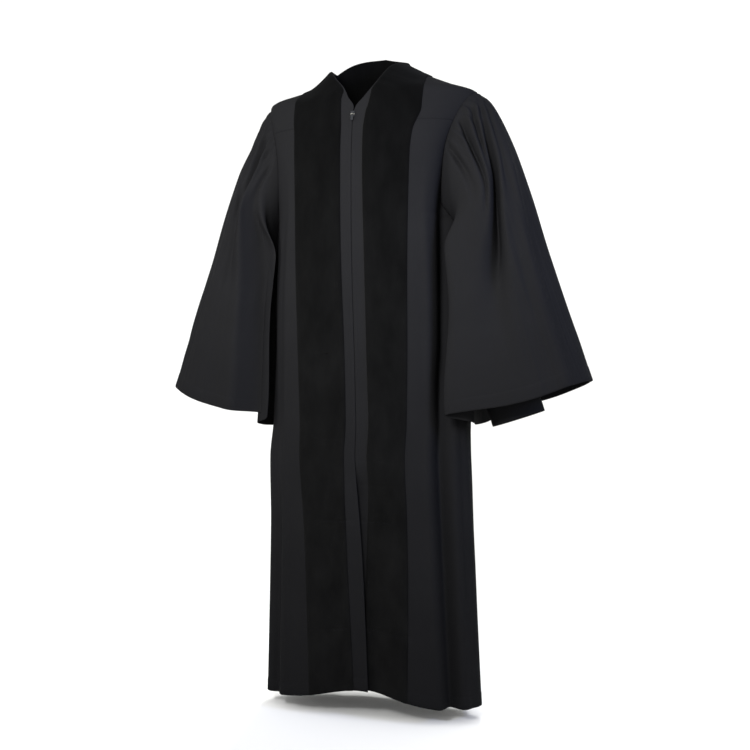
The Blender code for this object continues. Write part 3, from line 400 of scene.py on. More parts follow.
# How unevenly plain cloth hangs: waves by their rates across and down the cloth and by their shift.
SLOW_WAVES = ((61, 3.1, 1), (37, -5.3, 2.3))
QUICK_WAVE = (97, 8.9, 4.1, 6.1)
BODY_UNEVEN = 0.0007
BODY_UNEVEN_RISE = 0.15
SLEEVE_UNEVEN = 0.0008

# The fine gathers of a sleeve's head: how deep, how many to a whole turn, and where they fade and end.
GATHER_DEPTH = 0.0022
GATHER_COUNT = 40
GATHERS_FADE = 58
GATHERS_END = 92


class Plan:
    """One half of the body's plan sections, front or back, read at any reach and height."""

    def __init__(self, depth_name, facing):
        """Work out the sections at evenly spaced heights, at evenly spaced shares of the way round."""
        self.heights = np.arange(PLAN_LOW, PLAN_HIGH, PLAN_STEP)
        self.facing = facing
        turns = np.linspace(0, np.pi, 2 * PLAN_SHARES + 1)
        shares = np.linspace(0, 1, PLAN_SHARES + 1)
        self.length = np.zeros(len(self.heights))
        self.across = np.zeros((len(self.heights), PLAN_SHARES + 1))
        self.deep = np.zeros((len(self.heights), PLAN_SHARES + 1))
        for row, height in enumerate(self.heights):
            power = 2 / FORM.read("squareness", height)
            across = FORM.read("half_width", height) * np.sign(np.cos(turns)) * np.abs(np.cos(turns)) ** power
            deep = facing * -FORM.read(depth_name, height) * np.abs(np.sin(turns)) ** power
            lengths = np.concatenate(([0.0], np.cumsum(np.hypot(np.diff(across), np.diff(deep)))))
            self.length[row] = lengths[-1]
            self.across[row] = np.interp(shares * lengths[-1], lengths, across)
            self.deep[row] = np.interp(shares * lengths[-1], lengths, deep)

    def girth(self, height):
        """Give the length from the side line to the centre line at a height."""
        return np.interp(height, self.heights, self.length) / 2

    def place(self, reach, height):
        """Give the distance across and the depth at a reach and height."""
        row = np.clip((height - PLAN_LOW) / PLAN_STEP, 0, len(self.heights) - 1.001)
        low = row.astype(int)
        up = row - low
        whole = 2 * self.girth(height)
        share = np.clip(np.abs(reach) / whole, 0, 1) * PLAN_SHARES
        left = np.minimum(share.astype(int), PLAN_SHARES - 1)
        on = share - left
        result = []
        for grid in (self.across, self.deep):
            lower = blend(grid[low, left], grid[low, left + 1], on)
            upper = blend(grid[low + 1, left], grid[low + 1, left + 1], on)
            result.append(blend(lower, upper, up))
        return result

    def reach_at(self, across, height):
        """Give the reach at which the plan lies that far across, at one height or many."""
        across, height = np.broadcast_arrays(across, height)
        result = np.zeros(across.shape)
        for place in np.ndindex(across.shape):
            row = min(max((height[place] - PLAN_LOW) / PLAN_STEP, 0), len(self.heights) - 1.001)
            low = int(row)
            values = blend(self.across[low], self.across[low + 1], row - low)
            whole = blend(self.length[low], self.length[low + 1], row - low)
            result[place] = np.interp(-across[place], -values, np.linspace(0, whole, PLAN_SHARES + 1))
        return result


PLANS = {1: Plan("front_depth", 1), -1: Plan("back_depth", -1)}


def line_depth(rows, columns, side, first, second, second_scale):
    """Add up how far the listed creases take the cloth in, each strongest in the middle."""
    depth = np.zeros(np.broadcast(first, second).shape)
    for row in rows:
        crease = dict(zip(columns, row))
        if crease["side"] not in (0, side):
            continue
        start = np.array((row[1], row[2] * second_scale))
        way = np.array((row[3], row[4] * second_scale)) - start
        length = np.hypot(*way)
        along = ((first - start[0]) * way[0] + (second * second_scale - start[1]) * way[1]) / length
        off = ((first - start[0]) * -way[1] + (second * second_scale - start[1]) * way[0]) / length
        waver = CREASE_WAVER * crease["half_width"] * np.sin(along * 7 / length + 3 * row[1])
        strength = rise(along, 0, length * CREASE_FULL) * (1 - rise(along, length * CREASE_FADES, length))
        strength *= 1 - CREASE_UNEVEN + CREASE_UNEVEN * np.sin(along * 17 / length + 40 * row[1])
        depth += crease["depth"] * strength * hump(off, waver, crease["half_width"])
    return depth


def unevenness(first, second, seed):
    """Give a slow, irregular wave between about -1 and 1, longer down the cloth than across it."""
    slow = sum(np.sin(across * first + down * second + shift * seed) for across, down, shift in SLOW_WAVES)
    across, down, shift, swell = QUICK_WAVE
    quick = np.sin(across * first + down * second + shift * seed) * np.sin(swell * second + seed)
    return (slow + quick) / 3


def fold_depth(side, reach, height):
    """Add up how far the long folds take the body's cloth in."""
    depth = 0.0
    for row in BODY_FOLDS:
        fold = dict(zip(FOLD_COLUMNS, row))
        if fold["side"] not in (0, side):
            continue
        middle = blend(fold["top_reach"], fold["hem_reach"], rise(-height, -SHOULDER_TIP, -HEM))
        strength = rise(-height, -fold["begins"], -fold["full"])
        strength = strength * (1 - rise(-height, -fold["fades"], -fold["ends"]))
        depth = depth + fold["depth"] * strength * hump(reach, middle, fold["half_width"])
    return depth


def tuck_depth(side, reach, height):
    """Give how far the wearer's left front falls in behind the right one, below the zip."""
    if side == RIGHT:
        return 0.0
    from_middle = PLANS[1].girth(height) - reach
    near = 1 - rise(from_middle, TUCK_FULL_ACROSS, TUCK_ENDS_ACROSS)
    return TUCK * near * rise(-height, -ZIP_END - TUCK_LEAD, -ZIP_END + TUCK_DROP)


SLOPE_STEP = 0.0015


def body_points(side, reach, height, worn=True):
    """Give the points of the body's outer surface at a side, height and reach, which is positive in front."""
    reach, height = np.broadcast_arrays(np.asarray(reach, float), np.asarray(height, float))
    front = reach >= 0
    step = SLOPE_STEP
    places = {}
    for offset in (0, step, -step):
        length = np.maximum(np.abs(reach) + offset, 0)
        ahead, behind = PLANS[1].place(length, height), PLANS[-1].place(length, height)
        places[offset] = [np.where(front, a, b) for a, b in zip(ahead, behind)]
    x, y = places[0]
    facing = np.where(front, 1, -1)
    run, climb = places[step][0] - places[-step][0], places[step][1] - places[-step][1]
    size = np.maximum(np.hypot(run, climb), 1e-9)
    outward = np.stack((-climb * facing / size, run * facing / size), -1)
    depth = fold_depth(side, reach, height) + np.where(front, tuck_depth(side, reach, height), 0.0)
    if worn:
        depth = depth + line_depth(BODY_CREASES, CREASE_COLUMNS, side, reach, height, 1.0)
        soft = BODY_UNEVEN * rise(-height, -YOKE_SEAM, -YOKE_SEAM + BODY_UNEVEN_RISE)
        depth = depth - soft * unevenness(side * reach, height, side + 2)
    lift = np.zeros(np.shape(x))
    if side == RIGHT:
        sag = RIGHT_SAG * rise(height, RIGHT_SAG_BEGINS, RIGHT_SAG_FULL)
        lift = lift - sag * hump(x, RIGHT_SAG_ACROSS, RIGHT_SAG_HALF_WIDTH)
    low = HEM_LIFT * rise(-height, -HEM_LIFT_BEGINS, -HEM) * front
    lift = lift + low * hump(side * x, HEM_LIFT_ACROSS, HEM_LIFT_HALF_WIDTH)
    points = np.stack((x - outward[..., 0] * depth, y - outward[..., 1] * depth, height + lift), -1)
    points[..., 0] = side * points[..., 0] + FORM.read("sway", height)
    return points


def armhole_reach(height):
    """Give the reach of the armhole's edge at a height, or half a seam's gap under the arm."""
    part = np.clip((height - ARMHOLE_MIDDLE) / ARMHOLE_HALF_HEIGHT, -1, 1)
    return np.maximum(ARMHOLE_HALF_WIDTH * np.sqrt(1 - part * part), SEAM_GAP / 2)


def shoulder_place(side, level):
    """Give the reach and height of the velvet's outer edge, from the yoke seam (0) to the shoulder (1)."""
    height = blend(YOKE_SEAM, VELVET_SHOULDER, level)
    across = EDGES[side].read("velvet_outer", height)
    return np.maximum(PLANS[1].reach_at(across, height), 0.0), height


class Sheet:
    """A sheet of cloth as a grid: its points, its outward directions and its flat coordinates in metres."""

    def __init__(self, points, flat, closed=False, missing=None, outward_of=None):
        """Keep the grid, and work out its outward directions from its neighbours unless they are given."""
        self.points = points
        self.flat = flat
        self.closed = closed
        self.missing = np.zeros(points.shape[:2], bool) if missing is None else missing
        self.normals = self.directions() if outward_of is None else outward_of

    def directions(self):
        """Give the directions square to the sheet, from the differences of its points."""
        points = self.points
        down = np.gradient(points, axis=0)
        if self.closed:
            round_it = (np.roll(points, -1, 1) - np.roll(points, 1, 1)) / 2
        else:
            round_it = np.gradient(points, axis=1)
        normals = np.cross(down, round_it)
        return normals / np.maximum(np.linalg.norm(normals, axis=-1, keepdims=True), 1e-12)

    def moved(self, distance):
        """Give the points moved along the outward directions by one distance or by one for each point."""
        return self.points + self.normals * np.asarray(distance)[..., None] * np.ones_like(self.points)


RIM_BULGE = 0.35


def shell_mesh(name, sheet, outer, inner):
    """Make a closed thin shell from a sheet, between two distances, with its edges rounded over."""
    rows, columns = sheet.points.shape[:2]
    outer = np.broadcast_to(outer, (rows, columns))
    inner = np.broadcast_to(inner, (rows, columns))
    index = np.full((rows, columns), -1)
    index[~sheet.missing] = np.arange((~sheet.missing).sum())
    if sheet.closed:
        ahead = np.roll(index, -1, 1)
    else:
        ahead = np.pad(index[:, 1:], ((0, 0), (0, 1)), constant_values=-1)
    corners = np.stack((index[:-1], ahead[:-1], ahead[1:], index[1:]), -1).reshape(-1, 4)
    corners = corners[(corners >= 0).all(1)]
    keep = ~sheet.missing
    top, bottom = sheet.moved(outer)[keep], sheet.moved(inner)[keep]
    normals, flat = sheet.normals[keep], sheet.flat[keep]
    first = corners[0]
    facing = np.cross(top[first[1]] - top[first[0]], top[first[3]] - top[first[0]])
    if facing @ normals[first[0]] < 0:
        corners = corners[:, ::-1]
    edges = np.concatenate([corners[:, [a, (a + 1) % 4]] for a in range(4)])
    keys = {(a, b) for a, b in edges.tolist()}
    rim = np.array([(a, b) for a, b in edges.tolist() if (b, a) not in keys])
    count = len(top)
    if not len(rim):
        raise RuntimeError(name + " has no edge")
    along = top[rim[:, 1]] - top[rim[:, 0]]
    out = np.cross(along, normals[rim[:, 0]])
    out /= np.maximum(np.linalg.norm(out, axis=1, keepdims=True), 1e-12)
    push = np.zeros_like(top)
    np.add.at(push, rim[:, 0], out)
    np.add.at(push, rim[:, 1], out)
    push /= np.maximum(np.linalg.norm(push, axis=1, keepdims=True), 1e-12)
    wall = np.linalg.norm(top - bottom, axis=1, keepdims=True)
    ring = sorted(set(rim[:, 0].tolist()) | set(rim[:, 1].tolist()))
    middle_of = np.full(count, -1)
    middle_of[ring] = 2 * count + np.arange(len(ring))
    middle = ((top + bottom) / 2 + push * wall * RIM_BULGE)[ring]
    points = np.concatenate((top, bottom, middle))
    coordinates = np.concatenate((flat, flat, flat[ring]))
    faces = [tuple(face) for face in corners.tolist()]
    faces += [tuple(corner + count for corner in face[::-1]) for face in corners.tolist()]
    for a, b in rim.tolist():
        faces.append((b, a, int(middle_of[a]), int(middle_of[b])))
        faces.append((int(middle_of[b]), int(middle_of[a]), a + count, b + count))
    mesh = bpy.data.meshes.new(name)
    mesh.from_pydata(points.tolist(), [], faces)
    layer = mesh.uv_layers.new(name="cloth")
    loops = np.zeros(len(mesh.loops), int)
    mesh.loops.foreach_get("vertex_index", loops)
    layer.data.foreach_set("uv", coordinates[loops].ravel().astype(np.float32))
    mesh.shade_smooth()
    return mesh


def add_piece(name, mesh, material, replaced=()):
    """Link a mesh as a piece that rides on the robe and stands for the solids that it replaces."""
    piece = bpy.data.objects.new(name, mesh)
    bpy.context.scene.collection.objects.link(piece)
    mesh.materials.append(material_of(material))
    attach(piece, BODY)
    if replaced:
        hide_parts(*replaced)
    return piece


def add_shell(name, sheet, outer, inner, material, replaced=()):
    """Add a sheet as a piece, as a thin shell between two distances."""
    return add_piece(name, shell_mesh(name, sheet, outer, inner), material, replaced)


# How the fronts are divided, across and down.
CENTRE_COLUMNS = 14
VELVET_COLUMNS = 34
SIDE_COLUMNS = 56
UPPER_ROWS = 40
LOWER_STEP = 0.0085
LEVEL_CREASE = 0.01
CREASE_ROW_OFFSETS = (-0.008, -0.005, -0.0025, 0.0, 0.0025, 0.005, 0.008)
HEM_ROW_OFFSETS = (-0.003, -0.001, 0.001, 0.003)
UNUSED_REACH = 0.05

# How deep the turned-up hem is and how far it stands out, and the same for the turning along the zip.
HEM_DEPTH = 0.026
HEM_RISE = 0.0006
HEM_STEP_BELOW = 0.002
HEM_STEP_ABOVE = 0.001
ZIP_STITCH_IN = 0.0075
TURNING_RISE = 0.0003
TURNING_ENDS = 0.004
STITCH_DENT = 0.0004
STITCH_DENT_HALF_WIDTH = 0.0012

# How velvet rolls under at its edges, over the allowance that is turned in.
VELVET_BASE = 0.0004
VELVET_ROLL = 0.0030
VELVET_EDGE_SHARE = 0.25
VELVET_PADDING = 0.00035
VELVET_PADDING_ENDS = (0.009, 0.014)
VELVET_INNER = 0.0002


def body_heights():
    """Give the rows' heights from the yoke seam to the hem, close together at the pressed-in creases."""
    heights = set(np.linspace(YOKE_SEAM, HEM, int((YOKE_SEAM - HEM) / LOWER_STEP)).round(5).tolist())
    for row in BODY_CREASES:
        if abs(row[2] - row[4]) < LEVEL_CREASE:
            heights.update(round((row[2] + row[4]) / 2 + offset, 5) for offset in CREASE_ROW_OFFSETS)
    heights.update(round(HEM + HEM_DEPTH + offset, 5) for offset in HEM_ROW_OFFSETS)
    return np.array(sorted(heights, reverse=True))


def spread(start, end, count, last=False):
    """Give evenly spaced columns between two columns of values, with or without the last."""
    shares = np.linspace(0, 1, count + 1)[None, :]
    values = blend(np.asarray(start)[:, None], np.asarray(end)[:, None], shares)
    return values if last else values[:, :-1]


def front_places(side):
    """Give a front's reaches and heights from the neck to the hem, and which places aren't part of it."""
    heights = np.linspace(NECK_SIDE, YOKE_SEAM, UPPER_ROWS)
    level = (heights - YOKE_SEAM) / (NECK_SIDE - YOKE_SEAM)
    start = PLANS[1].reach_at(NECK.read(WORD[side] + "_across", heights) + ZIP_SLIT, heights)
    end, end_height = shoulder_place(side, level)
    strip = NECK.read(WORD[side] + "_strip_share", heights)
    shares = np.concatenate((spread(0 * strip, strip, CENTRE_COLUMNS),
                             spread(strip, 0 * strip + 1, VELVET_COLUMNS, True)), 1)
    upper_reach = np.maximum(blend(start[:, None], end[:, None], shares), SEAM_GAP / 2)
    upper_height = blend(heights[:, None], end_height[:, None], shares)
    none = np.full((UPPER_ROWS, SIDE_COLUMNS), np.nan)
    lower = body_heights()
    edges = EDGES[side]
    under = 0.0
    if side == LEFT:
        under = UNDERLAP * rise(-lower, -ZIP_END + UNDERLAP_BEGINS, -ZIP_END + UNDERLAP_FULL)
    across = [edges.read("edge", lower) + ZIP_SLIT - under, edges.read("velvet_inner", lower),
              edges.read("velvet_outer", lower)]
    slit, inner, outer = [PLANS[1].reach_at(value, lower) for value in across]
    reach = np.concatenate((spread(slit, inner, CENTRE_COLUMNS), spread(inner, outer, VELVET_COLUMNS),
                            spread(outer, armhole_reach(lower), SIDE_COLUMNS, True)), 1)
    height = np.repeat(lower[:, None], reach.shape[1], 1)
    reach = np.concatenate((np.concatenate((upper_reach, none), 1)[:-1], reach))
    height = np.concatenate((np.concatenate((upper_height, none), 1)[:-1], height))
    return filled(reach, height)


def filled(reach, height):
    """Fill in the places that aren't part of a sheet, and tell which they are."""
    return np.nan_to_num(reach, nan=UNUSED_REACH), np.nan_to_num(height, nan=YOKE_SEAM), np.isnan(reach)


def turned_outward(sheet):
    """Turn a sheet's outward directions away from the body's upright axis."""
    there = ~sheet.missing
    if (sheet.normals[there] * (sheet.points[there] * (1, 1, 0))).sum() < 0:
        sheet.normals = -sheet.normals
    return sheet


def body_sheet(side, reach, height, missing=None):
    """Make a sheet of the body's surface, facing outward."""
    flat = np.stack((side * reach, height), -1)
    return turned_outward(Sheet(body_points(side, reach, height), flat, missing=missing))


def hem_rise(height):
    """Give how far the turned-up hem stands out from the cloth above it."""
    top = HEM + HEM_DEPTH
    return HEM_RISE * (1 - rise(height, top - HEM_STEP_BELOW, top + HEM_STEP_ABOVE))


def front_sheet(side):
    """Make a front's sheet."""
    sheet = body_sheet(side, *front_places(side))
    seam, edge = UPPER_ROWS - 1, CENTRE_COLUMNS + VELVET_COLUMNS
    lower = Sheet(sheet.points[seam:], sheet.flat[seam:])
    sign = 1 if (lower.normals * sheet.normals[seam:]).sum() > 0 else -1
    sheet.normals[seam:, edge:] = sign * lower.normals[:, edge:]
    inside = Sheet(sheet.points[:, :edge + 1], sheet.flat[:, :edge + 1])
    sheet.normals[:, :edge] = sign * inside.normals[:, :-1]
    sheet.normals[:seam, edge] = sign * inside.normals[:seam, -1]
    return sheet


def front_thickness(sheet):
    """Give a front's outer distance: its hem, and the stitched-down turning along its centre edge."""
    edge = np.abs(sheet.flat[:, :1, 0] - sheet.flat[..., 0])
    turning = TURNING_RISE * (1 - rise(edge, ZIP_STITCH_IN, ZIP_STITCH_IN + TURNING_ENDS))
    dent = STITCH_DENT * hump(edge, ZIP_STITCH_IN, STITCH_DENT_HALF_WIDTH)
    return hem_rise(sheet.flat[..., 1]) + turning - dent


def part_of(sheet, rows, columns):
    """Give some rows and columns of a sheet as a sheet of its own, with the same outward directions."""
    points, flat, normals = [grid[rows, columns] for grid in (sheet.points, sheet.flat, sheet.normals)]
    return Sheet(points, flat, outward_of=normals)


def velvet_sheet(side, proud):
    """Make the sheet of a front's velvet from the front's own, and how far it stands out at each place."""
    part = slice(CENTRE_COLUMNS, CENTRE_COLUMNS + VELVET_COLUMNS + 1)
    sheet = part_of(front_sheet(side), slice(None), part)
    steps = np.linalg.norm(np.diff(sheet.points, axis=1), axis=-1)
    along = np.concatenate((np.zeros((len(steps), 1)), np.cumsum(steps, 1)), 1)
    return sheet, velvet_rise(np.minimum(along, along[:, -1:] - along), proud)


def velvet_rise(from_edge, proud):
    """Give how far velvet stands out at each distance from its edge."""
    roll = np.sqrt(np.clip(1 - (1 - np.clip(from_edge / VELVET_ROLL, 0, 1)) ** 2, 0, 1))
    padding = VELVET_PADDING * (1 - rise(from_edge, *VELVET_PADDING_ENDS))
    full = VELVET_EDGE_SHARE + (1 - VELVET_EDGE_SHARE) * roll
    return LAYER_GAP + (proud - VELVET_BASE) * full + padding


# How far a yoke laps over the fronts and the back, how it is divided, and where its inner edge begins.
YOKE_LAP = 0.0010
YOKE_INNER_LAP = 0.0015
YOKE_LEVELS = 34
YOKE_COLUMNS = 52
YOKE_INNER_SHARE = 0.006
YOKE_RISE = 0.0003


def yoke_sheet(side):
    """Make a shoulder yoke's sheet, from its front seam over the shoulder line to its back seam."""
    levels = np.concatenate((np.linspace(0, 1, YOKE_LEVELS), np.linspace(1, 0, YOKE_LEVELS)[1:]))
    facings = np.concatenate((np.ones(YOKE_LEVELS), -np.ones(YOKE_LEVELS - 1)))
    shares = np.linspace(YOKE_INNER_SHARE, 1, YOKE_COLUMNS)
    rows = []
    for level, facing in zip(levels, facings):
        inner_reach, inner_height = shoulder_place(side if facing > 0 else LEFT, np.array([level]))
        outer_height = blend(YOKE_SEAM, SHOULDER_TIP, level)
        outer_reach = armhole_reach(outer_height) if level < 1 else 0.0
        inner = inner_reach[0] + YOKE_INNER_LAP if level < 1 else 0.0
        height = blend(inner_height[0], outer_height, shares) - YOKE_LAP * (1 - level)
        rows.append((facing * blend(inner, outer_reach, shares), height))
    reach, height = [np.array(part) for part in zip(*rows)]
    return body_sheet(side, reach, height)


# How the back and the velvet inside its neck are divided.
BACK_INNER = 44
BACK_OUTER = 62
BAND_ROWS = 12
FACING_ROWS = 34
FACING_FARTHER_IN = 2
FACING_DEPTHS = (0.0001, 0.0009)


def back_rows(side):
    """Give the back's reaches and heights for one side, from the neck down, each row from the centre out."""
    coarse = NECK.at
    levels = np.linspace(1, 0, UPPER_ROWS)
    heights = NECK.at[0] + (NECK.at[-1] - NECK.at[0]) * levels
    index_share = np.interp(heights, coarse, np.linspace(0, 1, len(coarse)))
    end_reach, end_height = shoulder_place(LEFT, levels)
    centre_height = blend(YOKE_SEAM, NECK_BAND_BOTTOM, index_share)
    band = np.linspace(1, 0, BAND_ROWS + 1)[:-1]
    end_reach = np.concatenate((np.zeros(BAND_ROWS), end_reach))
    end_height = np.concatenate((blend(VELVET_SHOULDER, NECK_SIDE, band), end_height))
    centre_height = np.concatenate((blend(NECK_BAND_BOTTOM, BACK_NECK, band), centre_height))
    centre = PLANS[-1].girth(centre_height)
    shares = np.linspace(0, 1, BACK_INNER + 1)[None, :]
    bow = NECK_BOW[side] * rise(centre_height, NECK_BAND_BOTTOM, BACK_NECK)
    upper_reach = np.maximum(blend(centre[:, None], end_reach[:, None], shares), SEAM_GAP / 2)
    upper_height = blend(centre_height[:, None], end_height[:, None], shares)
    upper_height = upper_height + bow[:, None] * np.sin(np.pi * shares)
    lower = body_heights()
    inner = np.full(len(lower), shoulder_place(LEFT, np.array([0.0]))[0][0])
    reach = np.concatenate((spread(PLANS[-1].girth(lower), inner, BACK_INNER),
                            spread(inner, armhole_reach(lower), BACK_OUTER, True)), 1)
    none = np.full((len(upper_reach), BACK_OUTER), np.nan)
    reach = np.concatenate((np.concatenate((upper_reach, none), 1)[:-1], reach))
    height = np.concatenate((np.concatenate((upper_height, none), 1)[:-1],
                             np.repeat(lower[:, None], reach.shape[1], 1)))
    return reach, height


def back_sheet():
    """Make the back's sheet, from the wearer's right side to the left."""
    parts = []
    for side in (RIGHT, LEFT):
        reach, height, missing = filled(*back_rows(side))
        flat = np.stack((side * (PLANS[-1].girth(height) - reach), height), -1)
        parts.append((body_points(side, -reach, height), flat, missing))
    right = [part[:, :0:-1] for part in parts[0]]
    points, flat, missing = [np.concatenate((a, b), 1) for a, b in zip(right, parts[1])]
    middle = slice(BACK_OUTER, BACK_OUTER + 2 * BACK_INNER + 1)
    seam = BAND_ROWS + UPPER_ROWS - 1
    sheet = Sheet(points, flat, missing=missing)
    sheet.normals[seam:] = Sheet(points[seam:], flat[seam:]).normals
    sheet.normals[:, middle] = Sheet(points[:, middle], flat[:, middle]).normals
    return turned_outward(sheet)


def neck_part(back, rows, farther_in=0):
    """Give the back's upper rows between the shoulders, or from a little farther in."""
    columns = slice(BACK_OUTER + farther_in, BACK_OUTER + 2 * BACK_INNER + 1 - farther_in)
    return part_of(back, slice(0, rows), columns)


def neck_velvet_sheet(back, proud):
    """Make the sheet of the velvet round the back of the neck, and how far it stands out."""
    sheet = neck_part(back, BAND_ROWS + 1)
    steps = np.linalg.norm(np.diff(sheet.points, axis=0), axis=-1)
    along = np.concatenate((np.zeros((1, steps.shape[1])), np.cumsum(steps, 0)), 0)
    return sheet, velvet_rise(np.minimum(along, along[-1:] - along), proud)


def turned_apart(turn, middle):
    """Give the turn between two turns, the short way round."""
    return (turn - middle + 180) % 360 - 180


def sleeve_depth(side, turn, along, worn):
    """Add up how far the folds and the creases take the sleeve's cloth in; folds soon hang straight down."""
    fall = 1 - (1 - along) ** FOLD_FALL
    depth = 0.0
    for row in SLEEVE_FOLDS + (SLEEVE_GROOVES if worn else ()):
        fold = dict(zip(SLEEVE_FOLD_COLUMNS, row))
        if fold["side"] not in (0, side):
            continue
        middle = blend(fold["head_turn"], fold["foot_turn"], fall)
        half_width = blend(fold["head_width"], fold["foot_width"], fall)
        strength = rise(along, fold["begins"], fold["full"]) * (1 - rise(along, fold["fades"], fold["ends"]))
        depth = depth + fold["depth"] * strength * hump(turned_apart(turn, middle), 0, half_width)
    if worn:
        depth = depth + line_depth(
            SLEEVE_CREASES, SLEEVE_CREASE_COLUMNS, side, turn, along, SLEEVE_CREASE_SCALE)
        depth = depth - SLEEVE_UNEVEN * rise(along, 0.1, 0.4) * unevenness(turn / 90, along, side + 5)
        spacing = turn * GATHER_COUNT + 60 * np.sin(np.radians(turn * 5)) + 900 * along * turn / 90
        gathers = np.sin(np.radians(spacing)) * (0.7 + 0.3 * np.sin(np.radians(turn * 11)))
        gathers = gathers * (1 - rise(np.abs(turned_apart(turn, 0)), GATHERS_FADE, GATHERS_END))
        depth = depth + GATHER_DEPTH * gathers * rise(along, 0.0, 0.014) * (1 - rise(along, 0.04, 0.16))
    return depth


def raised(part, power):
    """Raise to a power, with the sign kept."""
    return np.sign(part) * np.abs(part) ** power


def sleeve_ring(side, turn, along, wrapped=True, worn=True):
    """Give a sleeve's points as on the wearer's left, without the armhole's own shape."""
    size = {name: SLEEVE.read(name, along) for name in SLEEVE.column}
    trim = size["right_trim"] if side == RIGHT else 0.0
    drop = RIGHT_SLEEVE_DROP * along if side == RIGHT else 0.0
    zero = np.zeros(np.broadcast(turn, along).shape)
    outer = np.stack((size["outer_across"] - trim + zero, zero, size["outer_height"] - drop + zero), -1)
    inner = np.stack((size["inner_across"] + zero, zero, size["inner_height"] - drop + zero), -1)
    angle = np.radians(turn)
    power = 2 / SLEEVE_SQUARENESS
    long_way = raised(np.cos(angle), power) + zero
    short_way = raised(np.sin(angle), power) + zero
    depth = sleeve_depth(side, turn, along, worn)
    spoke = (outer - inner) / 2 * long_way[..., None]
    spoke = spoke + np.stack((zero, -size["half_depth"] * short_way, zero), -1)
    size = np.maximum(np.linalg.norm(spoke, axis=-1), 0.01)
    points = (outer + inner) / 2 + spoke * (1 - depth / size)[..., None]
    if wrapped:
        wrap = hump(np.abs(turned_apart(turn, 0)), WRAP_TURN, WRAP_SPREAD)
        wrap = wrap * rise(along, WRAP_BEGINS, WRAP_FULL)
        more = FRONT_WRAP[side] * rise(along, FRONT_WRAP_BEGINS, 1.0) * (turn > 0)
        points[..., 0] = points[..., 0] - (WRAP + more) * wrap
    return points


# How a sleeve is divided along its length, closely at its head and its hem, and the flat sizes of its
# pattern.
SLEEVE_COLUMNS = 252
SLEEVE_HEAD_ROWS = 34
SLEEVE_HEAD_ENDS = 0.13
SLEEVE_ROWS = 78
SLEEVE_ROWS_END = 0.94
SLEEVE_MOUTH_ROWS = (0.962, 1, 6)
SLEEVE_HEM_ROW_GAP = 0.003
SLEEVE_HEM = 0.034
SLEEVE_LENGTH = 0.66
SLEEVE_GIRTH = 0.70


def sleeve_sheet(side):
    """Make a sleeve's sheet, which starts on the armhole's edge and takes up its own rings."""
    turns = np.linspace(-180, 180, SLEEVE_COLUMNS, endpoint=False)[None, :]
    hem = 1 - SLEEVE_HEM / SLEEVE_LENGTH
    rows = np.concatenate((np.linspace(0, SLEEVE_HEAD_ENDS, SLEEVE_HEAD_ROWS),
                           np.linspace(SLEEVE_HEAD_ENDS, SLEEVE_ROWS_END, SLEEVE_ROWS)[1:],
                           (hem - SLEEVE_HEM_ROW_GAP, hem, hem + SLEEVE_HEM_ROW_GAP),
                           np.linspace(*SLEEVE_MOUTH_ROWS)))
    rows = np.array(sorted(set(rows.round(5).tolist())))[:, None]
    own = sleeve_ring(side, turns, rows)
    angle = np.radians(turned_apart(turns, 0))
    edge = body_points(side, ARMHOLE_HALF_WIDTH * np.sin(angle) + 0 * rows,
                       ARMHOLE_MIDDLE + ARMHOLE_HALF_HEIGHT * np.cos(angle) + 0 * rows, worn=False)
    start = edge * (side, 1, 1) - sleeve_ring(side, turns, 0 * rows, worn=False)
    points = own + start * (1 - rise(rows, 0.0, ARMHOLE_BLEND))[..., None]
    points[..., 0] = side * (points[..., 0] + ARMHOLE_SEAM)
    flat = np.stack((turns / 360 * SLEEVE_GIRTH + 0 * rows, rows * SLEEVE_LENGTH + 0 * turns), -1)
    return outward_tube(Sheet(points, flat, closed=True))


def outward_tube(sheet):
    """Turn a closed sheet's outward directions away from its middle."""
    middle = sheet.points.mean(1, keepdims=True)
    if (sheet.normals * (sheet.points - middle)).sum() < 0:
        sheet.normals = -sheet.normals
    return sheet


def cuff_ring(side, turns, up):
    """Give a ring of the cuff's tube, that far up from its mouth."""
    tilt = math.radians(CUFF_TILT)
    wide = np.array((math.cos(tilt), 0, math.sin(tilt)))
    axis = np.array((-math.sin(tilt), 0, math.cos(tilt)))
    height = CUFF_HEIGHT + (RIGHT_CUFF_LIFT if side == RIGHT else 0.0)
    middle = np.array((CUFF_ACROSS, 0, height)) + axis * up
    angle = np.radians(turns)[:, None]
    ring = middle + wide * CUFF_HALF_WIDTH * np.cos(angle)
    ring = ring + np.array((0, -CUFF_HALF_DEPTH, 0)) * np.sin(angle)
    return ring * (side, 1, 1)


# How an inner sleeve is divided, its small gathers above the cuff, how far the cuff stands out, and its
# stitching.
INNER_COLUMNS = 180
INNER_ROWS = 26
INNER_GIRTH = 0.40
INNER_GATHER_DEPTH = 0.0011
INNER_GATHER_COUNT = 18
INNER_HALF_WIDTH = 0.05
CUFF_ROWS = 12
CUFF_RISE = 0.0007
CUFF_EDGE = 0.0015
CUFF_STITCH_IN = 0.0045


